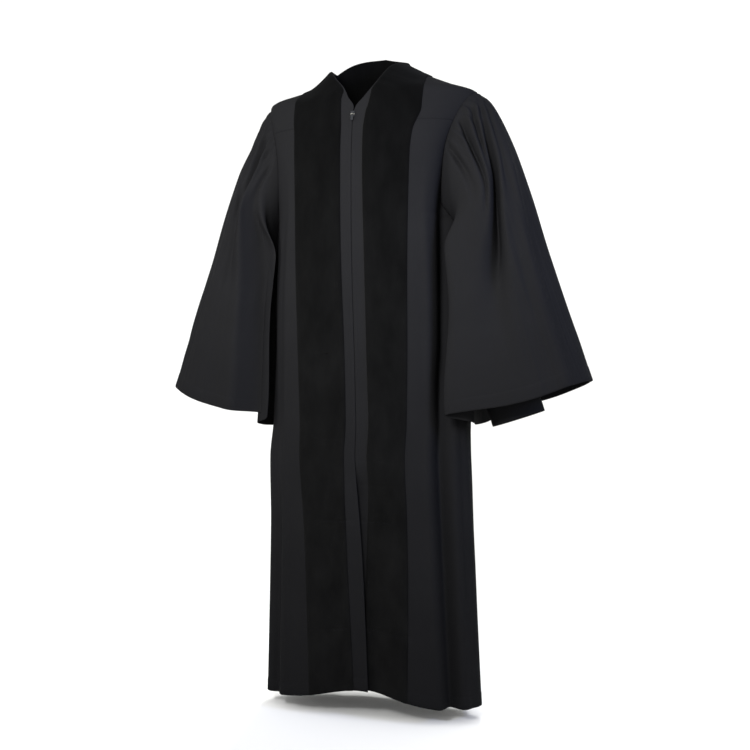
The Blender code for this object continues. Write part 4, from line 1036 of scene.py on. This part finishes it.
def inner_sleeve_sheet(side):
    """Make an inner sleeve's sheet, from inside the bell to the mouth of its cuff, and its outer distance."""
    turns = np.linspace(-180, 180, INNER_COLUMNS, endpoint=False)
    bell = sleeve_ring(side, turns, np.full(INNER_COLUMNS, INNER_SLEEVE_ALONG), wrapped=False, worn=False)
    bell[:, 0] = side * (bell[:, 0] + ARMHOLE_SEAM)
    middle = bell.mean(0)
    by_fold = hump(turns, FOLD_CLEARANCE_TURN[side], FOLD_CLEARANCE_SPREAD)
    by_fold = by_fold + hump(turns, BACK_FOLD_CLEARANCE_TURN, FOLD_CLEARANCE_SPREAD)
    clear = CLOTH + INNER_SLEEVE_CLEARANCE + INNER_SLEEVE_FOLD_CLEARANCE * by_fold
    way = middle - bell
    top = bell + way / np.linalg.norm(way, axis=1, keepdims=True) * clear[:, None]
    cuff_top, cuff_mouth = cuff_ring(side, turns, CUFF_LENGTH), cuff_ring(side, turns, 0.0)
    shares = np.linspace(0, 1, INNER_ROWS)
    body = [blend(top, cuff_top, share) for share in shares]
    ripple = np.sin(np.radians(turns * INNER_GATHER_COUNT + 30 * np.sin(np.radians(3 * turns))))
    for share, ring in zip(shares, body):
        size = INNER_GATHER_DEPTH * rise(share, 0.55, 0.92) * (1 - rise(share, 0.95, 1.0))
        ring += (ring - ring.mean(0)) / INNER_HALF_WIDTH * (size * ripple)[:, None]
    cuff = [blend(cuff_top, cuff_mouth, share) for share in np.linspace(0, 1, CUFF_ROWS)[1:]]
    points = np.array(body + cuff)
    down = np.linalg.norm(np.diff(points, axis=0), axis=-1).mean(1)
    lengths = np.concatenate(([0.0], np.cumsum(down)))
    flat = np.stack(np.broadcast_arrays(turns[None, :] / 360 * INNER_GIRTH, lengths[:, None]), -1)
    sheet = outward_tube(Sheet(points, flat, closed=True))
    above = lengths[INNER_ROWS - 1] - lengths
    outer = CUFF_RISE * rise(-above, -CUFF_EDGE, CUFF_EDGE)
    outer = outer - STITCH_DENT * hump(above, -CUFF_STITCH_IN, STITCH_DENT_HALF_WIDTH)
    return sheet, np.repeat(outer[:, None], INNER_COLUMNS, 1)


# A stitch: its length, the gap to the next, the first one's distance from the path's end, its radius, how
# many sides it has, and at shares of its length how thick and how high it is, in radii.
STITCH_LENGTH = 0.0024
STITCH_GAP = 0.0009
STITCH_INSET = 0.004
STITCH_RADIUS = 0.00022
STITCH_SIDES = 5
STITCH_PROFILE = ((0.0, 0.25, -0.6), (0.18, 0.9, 0.2), (0.5, 1.0, 0.55), (0.82, 0.9, 0.2), (1.0, 0.25, -0.6))


def ring_faces(first, rings, sides):
    """Give the faces between rings of corners, without the two ends."""
    faces = []
    for ring in range(rings - 1):
        low, high = first + ring * sides, first + (ring + 1) * sides
        for corner in range(sides):
            after = (corner + 1) % sides
            faces.append((low + corner, low + after, high + after, high + corner))
    return faces


def stitches(points, normals):
    """Lay stitches along a path: each a short thread with pointed ends, sunk at both of them."""
    steps = np.linalg.norm(np.diff(points, axis=0), axis=1)
    along = np.concatenate(([0.0], np.cumsum(steps)))
    last = along[-1] - STITCH_LENGTH - STITCH_INSET
    vertices, faces = [], []
    for place in np.arange(STITCH_INSET, last, STITCH_LENGTH + STITCH_GAP):
        spots = place + STITCH_LENGTH * np.array([share for share, _, _ in STITCH_PROFILE])
        line = np.stack([np.interp(spots, along, points[:, axis]) for axis in range(3)], -1)
        up = np.stack([np.interp(spots, along, normals[:, axis]) for axis in range(3)], -1)
        up /= np.linalg.norm(up, axis=1, keepdims=True)
        way = line[-1] - line[0]
        way /= np.linalg.norm(way)
        across = np.cross(up[2], way)
        first = len(vertices)
        for spot, (_, thick, height) in enumerate(STITCH_PROFILE):
            centre = line[spot] + up[spot] * STITCH_RADIUS * height
            for turn in np.arange(STITCH_SIDES) * 2 * np.pi / STITCH_SIDES:
                off = across * np.cos(turn) + up[spot] * np.sin(turn)
                vertices.append(centre + STITCH_RADIUS * thick * off)
        faces += ring_faces(first, len(STITCH_PROFILE), STITCH_SIDES)
        faces.append(tuple(range(first, first + STITCH_SIDES))[::-1])
        faces.append(tuple(range(len(vertices) - STITCH_SIDES, len(vertices))))
    return vertices, faces


def stitching_mesh(name, paths):
    """Make one mesh of all the stitches along several paths of points and outward directions."""
    vertices, faces = [], []
    for points, normals in paths:
        more_vertices, more_faces = stitches(points, normals)
        faces += [tuple(corner + len(vertices) for corner in face) for face in more_faces]
        vertices += more_vertices
    mesh = bpy.data.meshes.new(name)
    mesh.from_pydata([tuple(vertex) for vertex in vertices], [], faces)
    mesh.shade_smooth()
    return mesh


def linear(colour):
    """Turn an sRGB colour, as hex, into linear red, green and blue."""
    values = [int(colour[place:place + 2], 16) / 255 for place in (1, 3, 5)]
    return tuple(v / 12.92 if v <= 0.04045 else ((v + 0.055) / 1.055) ** 2.4 for v in values)


def add_node(tree, kind, settings=None, links=None):
    """Add a node, set its properties and sockets, and link its sockets from other nodes' outputs."""
    node = tree.nodes.new(kind)
    for name, value in (settings or {}).items():
        if isinstance(name, str) and hasattr(node, name):
            setattr(node, name, value)
        else:
            node.inputs[name].default_value = value
    for name, output in (links or {}).items():
        tree.links.new(output, node.inputs[name])
    return node


def new_material(name, settings):
    """Make a material, and give it with its tree and its shader, whose own sockets are set."""
    material = bpy.data.materials.new(name)
    material.use_nodes = True
    shader = material.node_tree.nodes["Principled BSDF"]
    for socket, value in settings.items():
        shader.inputs[socket].default_value = value
    return material, material.node_tree, shader


def shades(colour, *shares):
    """Give a colour with its light multiplied by each share."""
    return [(*(value * share for value in colour), 1) for share in shares]


def link_shader(tree, shader, colour=None, normal=None):
    """Link a colour and a bump's direction to the shader."""
    for socket, output in (("Base Color", colour), ("Normal", normal)):
        if output:
            tree.links.new(output, shader.inputs[socket])


# Real spacings, in metres: threads of the robe's cloth and the stretch of the velvet's brushed marks.
THREAD = 0.00042
NAP_STRETCH = 0.45

# Painted light on the velvet: where its tone is plain, and how much lighter it is painted from there to the
# hem, evening out the key light's fall toward the hem.
VELVET_PAINTED_LIGHT_TOP = -0.10
VELVET_PAINTED_LIGHT_SHARES = (0.85, 2.6)

# Painted highlight on the slider: the height of the tab's pin, round which the plate is painted bright, and
# how far from it that is full and has gone.
SLIDER_HEIGHT = -0.1335
PAINTED_HIGHLIGHT_FULL = 0.0004
PAINTED_HIGHLIGHT_GONE = 0.0014


def robe_cloth(colour):
    """Polyester robe cloth, dyed black in the piece and brushed: matt, soft, with a faint even weave."""
    material, tree, shader = new_material("brushed_polyester", {
        "Roughness": 0.75, "Specular IOR Level": 0.012, "Sheen Weight": 0.0})
    flat = add_node(tree, "ShaderNodeUVMap", {"uv_map": "cloth"})
    broad = add_node(tree, "ShaderNodeTexNoise", {"Scale": 7.0, "Detail": 3.0, "Roughness": 0.55},
                     {"Vector": flat.outputs["UV"]})
    dark, light = shades(colour, 0.86, 1.14)
    tone = add_node(tree, "ShaderNodeMix", {"data_type": "RGBA", 6: dark, 7: light},
                    {0: broad.outputs["Fac"]})
    stretched = add_node(tree, "ShaderNodeMapping", {"Scale": (1 / THREAD, 1 / THREAD, 1)},
                         {"Vector": flat.outputs["UV"]})
    warp, weft = [
        add_node(tree, "ShaderNodeTexWave", {"wave_type": "BANDS", "bands_direction": way, "Scale": 0.5,
                                             "Distortion": 0.6, "Detail Scale": 0.4},
                 {"Vector": stretched.outputs["Vector"]})
        for way in "XY"]
    weave = add_node(tree, "ShaderNodeMath", {"operation": "MAXIMUM"},
                     {0: warp.outputs["Fac"], 1: weft.outputs["Fac"]})
    bump = add_node(tree, "ShaderNodeBump", {"Strength": 0.35, "Distance": 0.0001},
                    {"Height": weave.outputs[0]})
    link_shader(tree, shader, tone.outputs[2], bump.outputs["Normal"])
    return material


def robe_velvet(colour):
    """Cotton velvet, a short dense cut pile brushed downward: almost black, brighter where the nap turns,
    with painted light toward the hem.
    """
    material, tree, shader = new_material("cotton_velvet", {
        "Roughness": 0.95, "Specular IOR Level": 0.0, "Sheen Weight": 0.008, "Sheen Roughness": 0.60,
        "Sheen Tint": (0.95, 0.97, 1.0, 1)})
    flat = add_node(tree, "ShaderNodeUVMap", {"uv_map": "cloth"})
    long_way = add_node(tree, "ShaderNodeMapping", {"Scale": (1.0, NAP_STRETCH, 1)},
                        {"Vector": flat.outputs["UV"]})
    brushed = add_node(tree, "ShaderNodeTexNoise", {"Scale": 22.0, "Detail": 5.0, "Roughness": 0.62},
                       {"Vector": long_way.outputs["Vector"]})
    spread_out = add_node(tree, "ShaderNodeMapRange",
                          {"From Min": 0.3, "From Max": 0.7, "To Min": 0.0, "To Max": 1.0},
                          {"Value": brushed.outputs["Fac"]})
    dark, light = shades(colour, 0.74, 1.28)
    tone = add_node(tree, "ShaderNodeMix", {"data_type": "RGBA", 6: dark, 7: light},
                    {0: spread_out.outputs["Result"]})
    # Painted light: the velvet's colour is scaled up from its top to the hem, evening out the key light's
    # fall there.
    place = add_node(tree, "ShaderNodeTexCoord")
    parts = add_node(tree, "ShaderNodeSeparateXYZ", {}, {"Vector": place.outputs["Object"]})
    top, hem = VELVET_PAINTED_LIGHT_SHARES
    lower = add_node(tree, "ShaderNodeMapRange",
                     {"From Min": VELVET_PAINTED_LIGHT_TOP, "From Max": HEM, "To Min": top, "To Max": hem},
                     {"Value": parts.outputs["Z"]})
    painted_light_tone = add_node(tree, "ShaderNodeVectorMath", {"operation": "SCALE"},
                      {0: tone.outputs[2], "Scale": lower.outputs["Result"]})
    pile = add_node(tree, "ShaderNodeTexNoise", {"Scale": 1900.0, "Detail": 2.0, "Roughness": 0.7},
                    {"Vector": flat.outputs["UV"]})
    both = add_node(tree, "ShaderNodeMath", {"operation": "MULTIPLY_ADD", 1: 0.6},
                    {0: pile.outputs["Fac"], 2: brushed.outputs["Fac"]})
    bump = add_node(tree, "ShaderNodeBump", {"Strength": 0.45, "Distance": 0.0006},
                    {"Height": both.outputs[0]})
    link_shader(tree, shader, painted_light_tone.outputs["Vector"], bump.outputs["Normal"])
    return material


def zip_tape(colour):
    """Woven polyester zip tape: fine, flat herringbone ribs with a low shine."""
    material, tree, shader = new_material("woven_tape", {"Roughness": 0.6, "Specular IOR Level": 0.04})
    place = add_node(tree, "ShaderNodeTexCoord")
    rib = add_node(tree, "ShaderNodeTexWave",
                   {"wave_type": "BANDS", "bands_direction": "DIAGONAL", "Scale": 420.0},
                   {"Vector": place.outputs["Object"]})
    dark, light = shades(colour, 0.7, 1)
    tone = add_node(tree, "ShaderNodeMix", {"data_type": "RGBA", 6: dark, 7: light}, {0: rib.outputs["Fac"]})
    bump = add_node(tree, "ShaderNodeBump", {"Strength": 0.4, "Distance": 0.0001},
                    {"Height": rib.outputs["Fac"]})
    link_shader(tree, shader, tone.outputs[2], bump.outputs["Normal"])
    return material


def black_nickel(colour, highlight_colour):
    """Die-cast zinc with black nickel plate, tumbled: dark, with a painted highlight round the tab's pin."""
    material, tree, shader = new_material("black_nickel_plate", {"Metallic": 1.0})
    place = add_node(tree, "ShaderNodeTexCoord")
    marks = add_node(tree, "ShaderNodeTexNoise", {"Scale": 900.0, "Detail": 6.0, "Roughness": 0.7},
                     {"Vector": place.outputs["Object"]})
    rough = add_node(tree, "ShaderNodeMapRange",
                     {"From Min": 0.3, "From Max": 0.7, "To Min": 0.30, "To Max": 0.50},
                     {"Value": marks.outputs["Fac"]})
    tree.links.new(rough.outputs["Result"], shader.inputs["Roughness"])
    # Painted highlight: the plate is painted in the brighter colour in a band round the pin's height.
    parts = add_node(tree, "ShaderNodeSeparateXYZ", {}, {"Vector": place.outputs["Object"]})
    above = add_node(tree, "ShaderNodeMath", {"operation": "SUBTRACT", 1: SLIDER_HEIGHT},
                     {0: parts.outputs["Z"]})
    away = add_node(tree, "ShaderNodeMath", {"operation": "ABSOLUTE"}, {0: above.outputs[0]})
    worn = add_node(tree, "ShaderNodeMapRange",
                    {"From Min": PAINTED_HIGHLIGHT_FULL, "From Max": PAINTED_HIGHLIGHT_GONE, "To Min": 1.0, "To Max": 0.0},
                    {"Value": away.outputs[0]})
    tone = add_node(tree, "ShaderNodeMix", {"data_type": "RGBA", 6: (*colour, 1), 7: (*highlight_colour, 1)},
                    {0: worn.outputs["Result"]})
    bump = add_node(tree, "ShaderNodeBump", {"Strength": 0.15, "Distance": 0.0001},
                    {"Height": marks.outputs["Fac"]})
    link_shader(tree, shader, tone.outputs[2], bump.outputs["Normal"])
    return material


def sewing_thread(colour):
    """Spun polyester sewing thread: two plies twisted, with a slight lustre."""
    material, tree, shader = new_material("spun_thread", {"Roughness": 0.6, "Specular IOR Level": 0.03})
    place = add_node(tree, "ShaderNodeTexCoord")
    ply = add_node(tree, "ShaderNodeTexWave",
                   {"wave_type": "BANDS", "bands_direction": "DIAGONAL", "Scale": 900.0},
                   {"Vector": place.outputs["Object"]})
    dark, light = shades(colour, 0.6, 1)
    tone = add_node(tree, "ShaderNodeMix", {"data_type": "RGBA", 6: dark, 7: light}, {0: ply.outputs["Fac"]})
    link_shader(tree, shader, tone.outputs[2])
    return material


def pale_floor(colour):
    """A painted studio floor that curves up behind: matt, with the faint mottle of a rolled coat."""
    material, tree, shader = new_material("painted_floor", {"Roughness": 0.95, "Specular IOR Level": 0.1})
    place = add_node(tree, "ShaderNodeTexCoord")
    mottle = add_node(tree, "ShaderNodeTexNoise", {"Scale": 9.0, "Detail": 4.0},
                      {"Vector": place.outputs["Object"]})
    dim, full = shades(colour, 0.985, 1)
    tone = add_node(tree, "ShaderNodeMix", {"data_type": "RGBA", 6: dim, 7: full}, {0: mottle.outputs["Fac"]})
    link_shader(tree, shader, tone.outputs[2])
    return material


class RobeColours(bpy.types.PropertyGroup):
    """The robe's colours, in linear light."""

    cloth: FloatVectorProperty(
        name="Robe cloth", description="Dyed polyester cloth", subtype="COLOR", default=linear("#121213"))
    velvet: FloatVectorProperty(
        name="Velvet", description="Cotton velvet, down its pile", subtype="COLOR", default=linear("#050505"))
    tape: FloatVectorProperty(
        name="Zip tape", description="Woven zip tape", subtype="COLOR", default=linear("#111112"))
    thread: FloatVectorProperty(
        name="Thread", description="Sewing thread", subtype="COLOR", default=linear("#131315"))
    metal: FloatVectorProperty(
        name="Metal", description="Black nickel on the slider", subtype="COLOR", default=linear("#242527"))
    # The slider's painted highlight, round the tab's pin.
    highlight_metal: FloatVectorProperty(
        name="Worn metal", description="Plate rubbed at the pin", subtype="COLOR", default=linear("#6c6a65"))
    floor: FloatVectorProperty(
        name="Floor", description="Studio floor", subtype="COLOR", default=linear("#f2f2f0"))


class RobeSizes(bpy.types.PropertyGroup):
    """The thicknesses of the robe's cloths."""

    cloth: FloatProperty(
        name="Cloth", description="Thickness that the cloth shows at its edges", default=SHELL, unit="LENGTH")
    velvet: FloatProperty(
        name="Velvet", description="How far the velvet stands out", default=VELVET_RISE, unit="LENGTH")


MATERIALS = {}


def material_of(name):
    """Give a material by name, made the first time that a piece asks for it."""
    colours = bpy.context.scene.robe_colours
    makers = {
        "cloth": lambda: robe_cloth(colours.cloth),
        "velvet": lambda: robe_velvet(colours.velvet),
        "tape": lambda: zip_tape(colours.tape),
        "thread": lambda: sewing_thread(colours.thread),
        "metal": lambda: black_nickel(colours.metal, colours.highlight_metal),
        "floor": lambda: pale_floor(colours.floor),
    }
    if name not in MATERIALS:
        MATERIALS[name] = makers[name]()
    return MATERIALS[name]


class ROBE_OT_fronts(bpy.types.Operator):
    """Build the two fronts, with the turning along the zip and the hem"""

    bl_idname = "robe.fronts"
    bl_label = "Fronts"

    def execute(self, context):
        """Make a thin shell on each front's solid."""
        sizes = context.scene.robe_sizes
        for side in (LEFT, RIGHT):
            sheet, node = front_sheet(side), f"front_{WORD[side]}"
            piece = add_shell(f"robe_{node}", sheet, front_thickness(sheet), -sizes.cloth, "cloth", [node])
        return {"FINISHED"}


class ROBE_OT_velvet(bpy.types.Operator):
    """Build the velvet panels down the fronts and the velvet round the back of the neck"""

    bl_idname = "robe.velvet"
    bl_label = "Velvet"

    def execute(self, context):
        """Make each velvet panel as a layer that rolls under at its edges."""
        sizes = context.scene.robe_sizes
        for side in (LEFT, RIGHT):
            sheet, outer = velvet_sheet(side, sizes.velvet)
            node = f"velvet_{WORD[side]}"
            piece = add_shell(f"robe_{node}", sheet, outer, VELVET_INNER, "velvet", [node])
        back = back_sheet()
        sheet, outer = neck_velvet_sheet(back, sizes.velvet)
        piece = add_shell("robe_velvet_neck", sheet, outer, VELVET_INNER, "velvet", ["velvet_neck"])
        facing = neck_part(back, FACING_ROWS, FACING_FARTHER_IN)
        outer, inner = [-sizes.cloth - depth for depth in FACING_DEPTHS]
        piece = add_shell("robe_neck_facing", facing, outer, inner, "velvet")
        return {"FINISHED"}


class ROBE_OT_yokes(bpy.types.Operator):
    """Build the two shoulder yokes"""

    bl_idname = "robe.yokes"
    bl_label = "Yokes"

    def execute(self, context):
        """Make a thin shell on each yoke's solid."""
        sizes = context.scene.robe_sizes
        for side in (LEFT, RIGHT):
            node = f"yoke_{WORD[side]}"
            piece = add_shell(f"robe_{node}", yoke_sheet(side), YOKE_RISE, -sizes.cloth, "cloth", [node])
        return {"FINISHED"}


class ROBE_OT_back(bpy.types.Operator):
    """Build the back"""

    bl_idname = "robe.back"
    bl_label = "Back"

    def execute(self, context):
        """Make a thin shell on the back's solid."""
        sizes = context.scene.robe_sizes
        sheet = back_sheet()
        piece = add_shell("robe_back", sheet, hem_rise(sheet.flat[..., 1]), -sizes.cloth, "cloth", ["back"])
        return {"FINISHED"}


class ROBE_OT_sleeves(bpy.types.Operator):
    """Build the two bell sleeves, with their gathered heads and their hems"""

    bl_idname = "robe.sleeves"
    bl_label = "Sleeves"

    def execute(self, context):
        """Make a thin shell on each sleeve's solid."""
        sizes = context.scene.robe_sizes
        for side in (LEFT, RIGHT):
            sheet, node = sleeve_sheet(side), f"sleeve_{WORD[side]}"
            below = sheet.flat[..., 1] - (SLEEVE_LENGTH - SLEEVE_HEM)
            outer = HEM_RISE * rise(below, -HEM_STEP_BELOW, HEM_STEP_ABOVE)
            piece = add_shell(f"robe_{node}", sheet, outer, -sizes.cloth, "cloth", [node])
        return {"FINISHED"}


class ROBE_OT_inner_sleeves(bpy.types.Operator):
    """Build the two inner sleeves with their cuffs"""

    bl_idname = "robe.inner_sleeves"
    bl_label = "Inner sleeves"

    def execute(self, context):
        """Make a thin shell on each inner sleeve's solid."""
        sizes = context.scene.robe_sizes
        for side in (LEFT, RIGHT):
            sheet, outer = inner_sleeve_sheet(side)
            node = f"inner_sleeve_{WORD[side]}"
            piece = add_shell(f"robe_{node}", sheet, outer, -sizes.cloth, "cloth", [node])
        return {"FINISHED"}


# The zip's chain: how far it begins and ends inside the tape, the spacing of its elements, how far it lies
# behind the cloth, and each element's half depth, half height and outline, by distance across and share of
# those.
CHAIN_INSET = 0.004
CHAIN_PITCH = 0.0015
CHAIN_BEHIND = 0.0016
CHAIN_HALF_DEPTH = 0.00065
CHAIN_HALF_HEIGHT = 0.00052
CHAIN_OUTLINE = ((-0.0021, 0.6), (-0.0006, 0.75), (0.0004, 1.0), (0.0011, 0.7))
CHAIN_CORNERS = ((1, 1), (1, -1), (-1, -1), (-1, 1))
UPWARD_STEP = 0.002


def chain_mesh(name):
    """Make the closed zip chain: small moulded elements from each side in turn, down to the zip's end."""
    heights = np.arange(ZIP_TOP - CHAIN_INSET, ZIP_END + CHAIN_INSET, -CHAIN_PITCH)
    across = EDGES[LEFT].read("edge", heights)
    reach = PLANS[1].reach_at(across, heights)
    points = body_points(LEFT, reach, heights, worn=False)
    up = body_points(LEFT, reach, heights + UPWARD_STEP, worn=False) - points
    up /= np.linalg.norm(up, axis=1, keepdims=True)
    wide = np.array((1.0, 0.0, 0.0))
    vertices, faces = [], []
    for count, (point, way) in enumerate(zip(points, up)):
        out = np.cross(wide, way)
        out = out if out[1] < 0 else -out
        middle = point - out * CHAIN_BEHIND
        first = len(vertices)
        turn = 1 if count % 2 else -1
        for distance, thick in CHAIN_OUTLINE:
            for a, b in CHAIN_CORNERS:
                vertices.append(middle + wide * distance * turn + out * CHAIN_HALF_DEPTH * a * thick
                                + way * CHAIN_HALF_HEIGHT * b * thick)
        element = ring_faces(first, len(CHAIN_OUTLINE), len(CHAIN_CORNERS))
        element.append(tuple(range(first, first + len(CHAIN_CORNERS)))[::-1])
        element.append(tuple(range(len(vertices) - len(CHAIN_CORNERS), len(vertices))))
        faces += element if turn > 0 else [face[::-1] for face in element]
    mesh = bpy.data.meshes.new(name)
    mesh.from_pydata([tuple(vertex) for vertex in vertices], [], faces)
    return mesh


class ROBE_OT_zip(bpy.types.Operator):
    """Build the zip's chain, and finish its tape, slider and pull tab"""

    bl_idname = "robe.zip"
    bl_label = "Zip"

    def execute(self, context):
        """Make the chain, and give the CAD's own tape, slider and pull tab their materials."""
        add_piece("robe_zip_chain", chain_mesh("robe_zip_chain"), "tape")
        for node, name in (("zip_tape", "tape"), ("zip_slider", "metal"), ("zip_pull", "metal")):
            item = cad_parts[node]
            item.data.materials.clear()
            item.data.materials.append(material_of(name))
        return {"FINISHED"}


# Where the stitching starts beside the zip, among which columns it is looked for, and how deep it lies in the
# cloth. On the yokes it follows the rows beside their edges.
ZIP_STITCH_FIRST_ROW = UPPER_ROWS - 6
ZIP_STITCH_COLUMNS = CENTRE_COLUMNS + 4
ZIP_STITCH_NORMAL_COLUMN = 3
ZIP_STITCH_SUNK = 0.0001
YOKE_STITCH_ROWS = (1, -2)


class ROBE_OT_stitching(bpy.types.Operator):
    """Sew the visible stitching: beside the zip and along the yokes' edges"""

    bl_idname = "robe.stitching"
    bl_label = "Stitching"

    def execute(self, context):
        """Lay each row of stitches on its sheet."""
        paths = []
        for side in (LEFT, RIGHT):
            paths.append(zip_stitch_path(front_sheet(side)))
            yoke = yoke_sheet(side)
            for row in YOKE_STITCH_ROWS:
                paths.append((yoke.points[row] + yoke.normals[row] * YOKE_RISE, yoke.normals[row]))
        add_piece("robe_stitching", stitching_mesh("robe_stitching", paths), "thread")
        return {"FINISHED"}


def zip_stitch_path(front):
    """Give the path of the stitches that hold a front's turning, beside its centre edge."""
    edge = np.abs(front.flat[:, :1, 0] - front.flat[..., 0])[:, :ZIP_STITCH_COLUMNS]
    points = [[np.interp(ZIP_STITCH_IN, edge[row], front.points[row, :ZIP_STITCH_COLUMNS, axis])
               for axis in range(3)] for row in range(ZIP_STITCH_FIRST_ROW, len(edge))]
    normals = front.normals[ZIP_STITCH_FIRST_ROW:, ZIP_STITCH_NORMAL_COLUMN]
    return np.array(points) - normals * ZIP_STITCH_SUNK, normals


CAMERA_DISTANCE = 2.4
CAMERA_HEIGHT = -0.673
CAMERA_AZIMUTH = 20
CAMERA_LENS = 53.09
CAMERA_SHIFT = 2.5 / 750
FLOOR_HEIGHT = -1.395
FLOOR_FRONT = -4.0
FLOOR_BACK = 2.0
FLOOR_HALF_WIDTH = 5.0
FLOOR_CURVE = 1.5
FLOOR_CURVE_ROWS = 12
WALL_HEIGHT = 5.0

# Each light: its place, its size across and up, its spread in degrees, its power in watts, its colour and
# its aim.
LIGHTS = {
    "key": ((0.10, -1.9, 0.10), (0.5, 0.5), 60, 11.0, "#ffffff", (0.0, 0.0, -0.34)),
    "left_fill": ((-1.5, -1.2, 0.10), (0.5, 0.5), 60, 3.5, "#ffffff", (0.0, 0.0, -0.40)),
    "cool_fill": ((2.0, -0.6, 0.10), (0.5, 0.5), 60, 5.2, "#b4c4ff", (0.1, 0.0, -0.40)),
    "back_key": ((-0.4, 2.1, 0.30), (0.6, 0.6), 60, 13.0, "#ffffff", (0.0, 0.0, -0.40)),
}
WORLD_COLOUR = "#ffffff"
WORLD_STRENGTH = 1.25


def floor_mesh():
    """Make the floor, which curves up into a wall far behind."""
    profile = [(FLOOR_FRONT, 0.0), (FLOOR_BACK, 0.0)]
    for turn in np.linspace(0.1, math.pi / 2, FLOOR_CURVE_ROWS):
        away, up = FLOOR_CURVE * math.sin(turn), FLOOR_CURVE - FLOOR_CURVE * math.cos(turn)
        profile.append((FLOOR_BACK + away, up))
    profile.append((FLOOR_BACK + FLOOR_CURVE, WALL_HEIGHT))
    mesh = bpy.data.meshes.new("floor")
    vertices = [(side * FLOOR_HALF_WIDTH, y, FLOOR_HEIGHT + z) for y, z in profile for side in (-1, 1)]
    faces = [(2 * n, 2 * n + 1, 2 * n + 3, 2 * n + 2) for n in range(len(profile) - 1)]
    mesh.from_pydata(vertices, [], faces)
    mesh.shade_smooth()
    return mesh


class ROBE_OT_stage(bpy.types.Operator):
    """Build the floor, the lights, the surrounding light and the camera"""

    bl_idname = "robe.stage"
    bl_label = "Stage"

    def execute(self, context):
        """Set up the plain pale stage, seen as the photo sees it."""
        scene = context.scene
        azimuth = math.radians(CAMERA_AZIMUTH)
        floor = bpy.data.objects.new("floor", floor_mesh())
        floor.data.materials.append(material_of("floor"))
        floor.rotation_euler = (0, 0, azimuth)
        scene.collection.objects.link(floor)
        for name, (place, size, beam, power, colour, aim) in LIGHTS.items():
            data = bpy.data.lights.new(name, "AREA")
            data.shape = "RECTANGLE"
            data.size, data.size_y = size
            data.spread = math.radians(beam)
            data.energy = power
            data.color = linear(colour)
            light = bpy.data.objects.new(name, data)
            light.location = place
            light.rotation_euler = (Vector(aim) - Vector(place)).to_track_quat("-Z", "Y").to_euler()
            scene.collection.objects.link(light)
        world = bpy.data.worlds.new("studio")
        world.use_nodes = True
        background = world.node_tree.nodes["Background"]
        background.inputs["Color"].default_value = (*linear(WORLD_COLOUR), 1)
        background.inputs["Strength"].default_value = WORLD_STRENGTH
        scene.world = world
        scene.view_settings.view_transform = "Standard"
        data = bpy.data.cameras.new("camera")
        data.sensor_width = 36
        data.lens = CAMERA_LENS
        data.shift_x = CAMERA_SHIFT
        camera = bpy.data.objects.new("camera", data)
        across, ahead = math.sin(azimuth) * CAMERA_DISTANCE, -math.cos(azimuth) * CAMERA_DISTANCE
        camera.location = (across, ahead, CAMERA_HEIGHT)
        camera.rotation_euler = (math.radians(90), 0, azimuth)
        scene.collection.objects.link(camera)
        scene.camera = camera
        return {"FINISHED"}


OPERATORS = (
    ROBE_OT_fronts, ROBE_OT_velvet, ROBE_OT_yokes, ROBE_OT_back, ROBE_OT_sleeves, ROBE_OT_inner_sleeves,
    ROBE_OT_zip, ROBE_OT_stitching, ROBE_OT_stage)


class ROBE_PT_panel(bpy.types.Panel):
    """Lists the robe's pieces in the 3D view's sidebar"""

    bl_idname = "ROBE_PT_panel"
    bl_label = "Robe"
    bl_space_type = "VIEW_3D"
    bl_region_type = "UI"
    bl_category = "Robe"

    def draw(self, context):
        """Draw the colours, the sizes and one button for each operator."""
        for group in (context.scene.robe_colours, context.scene.robe_sizes):
            for name in group.__annotations__:
                self.layout.prop(group, name)
        for operator in OPERATORS:
            self.layout.operator(operator.bl_idname)


CLASSES = (RobeColours, RobeSizes, *OPERATORS, ROBE_PT_panel)


def register():
    """Add the robe's classes and its settings to Blender."""
    for cls in CLASSES:
        bpy.utils.register_class(cls)
    bpy.types.Scene.robe_colours = PointerProperty(type=RobeColours)
    bpy.types.Scene.robe_sizes = PointerProperty(type=RobeSizes)


def unregister():
    """Take the robe's settings and classes out of Blender."""
    del bpy.types.Scene.robe_sizes
    del bpy.types.Scene.robe_colours
    for cls in reversed(CLASSES):
        bpy.utils.unregister_class(cls)


def main():
    """Register the add-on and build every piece."""
    register()
    for operator in OPERATORS:
        group, name = operator.bl_idname.split(".")
        getattr(getattr(bpy.ops, group), name)()


if __name__ == "__main__":
    main()
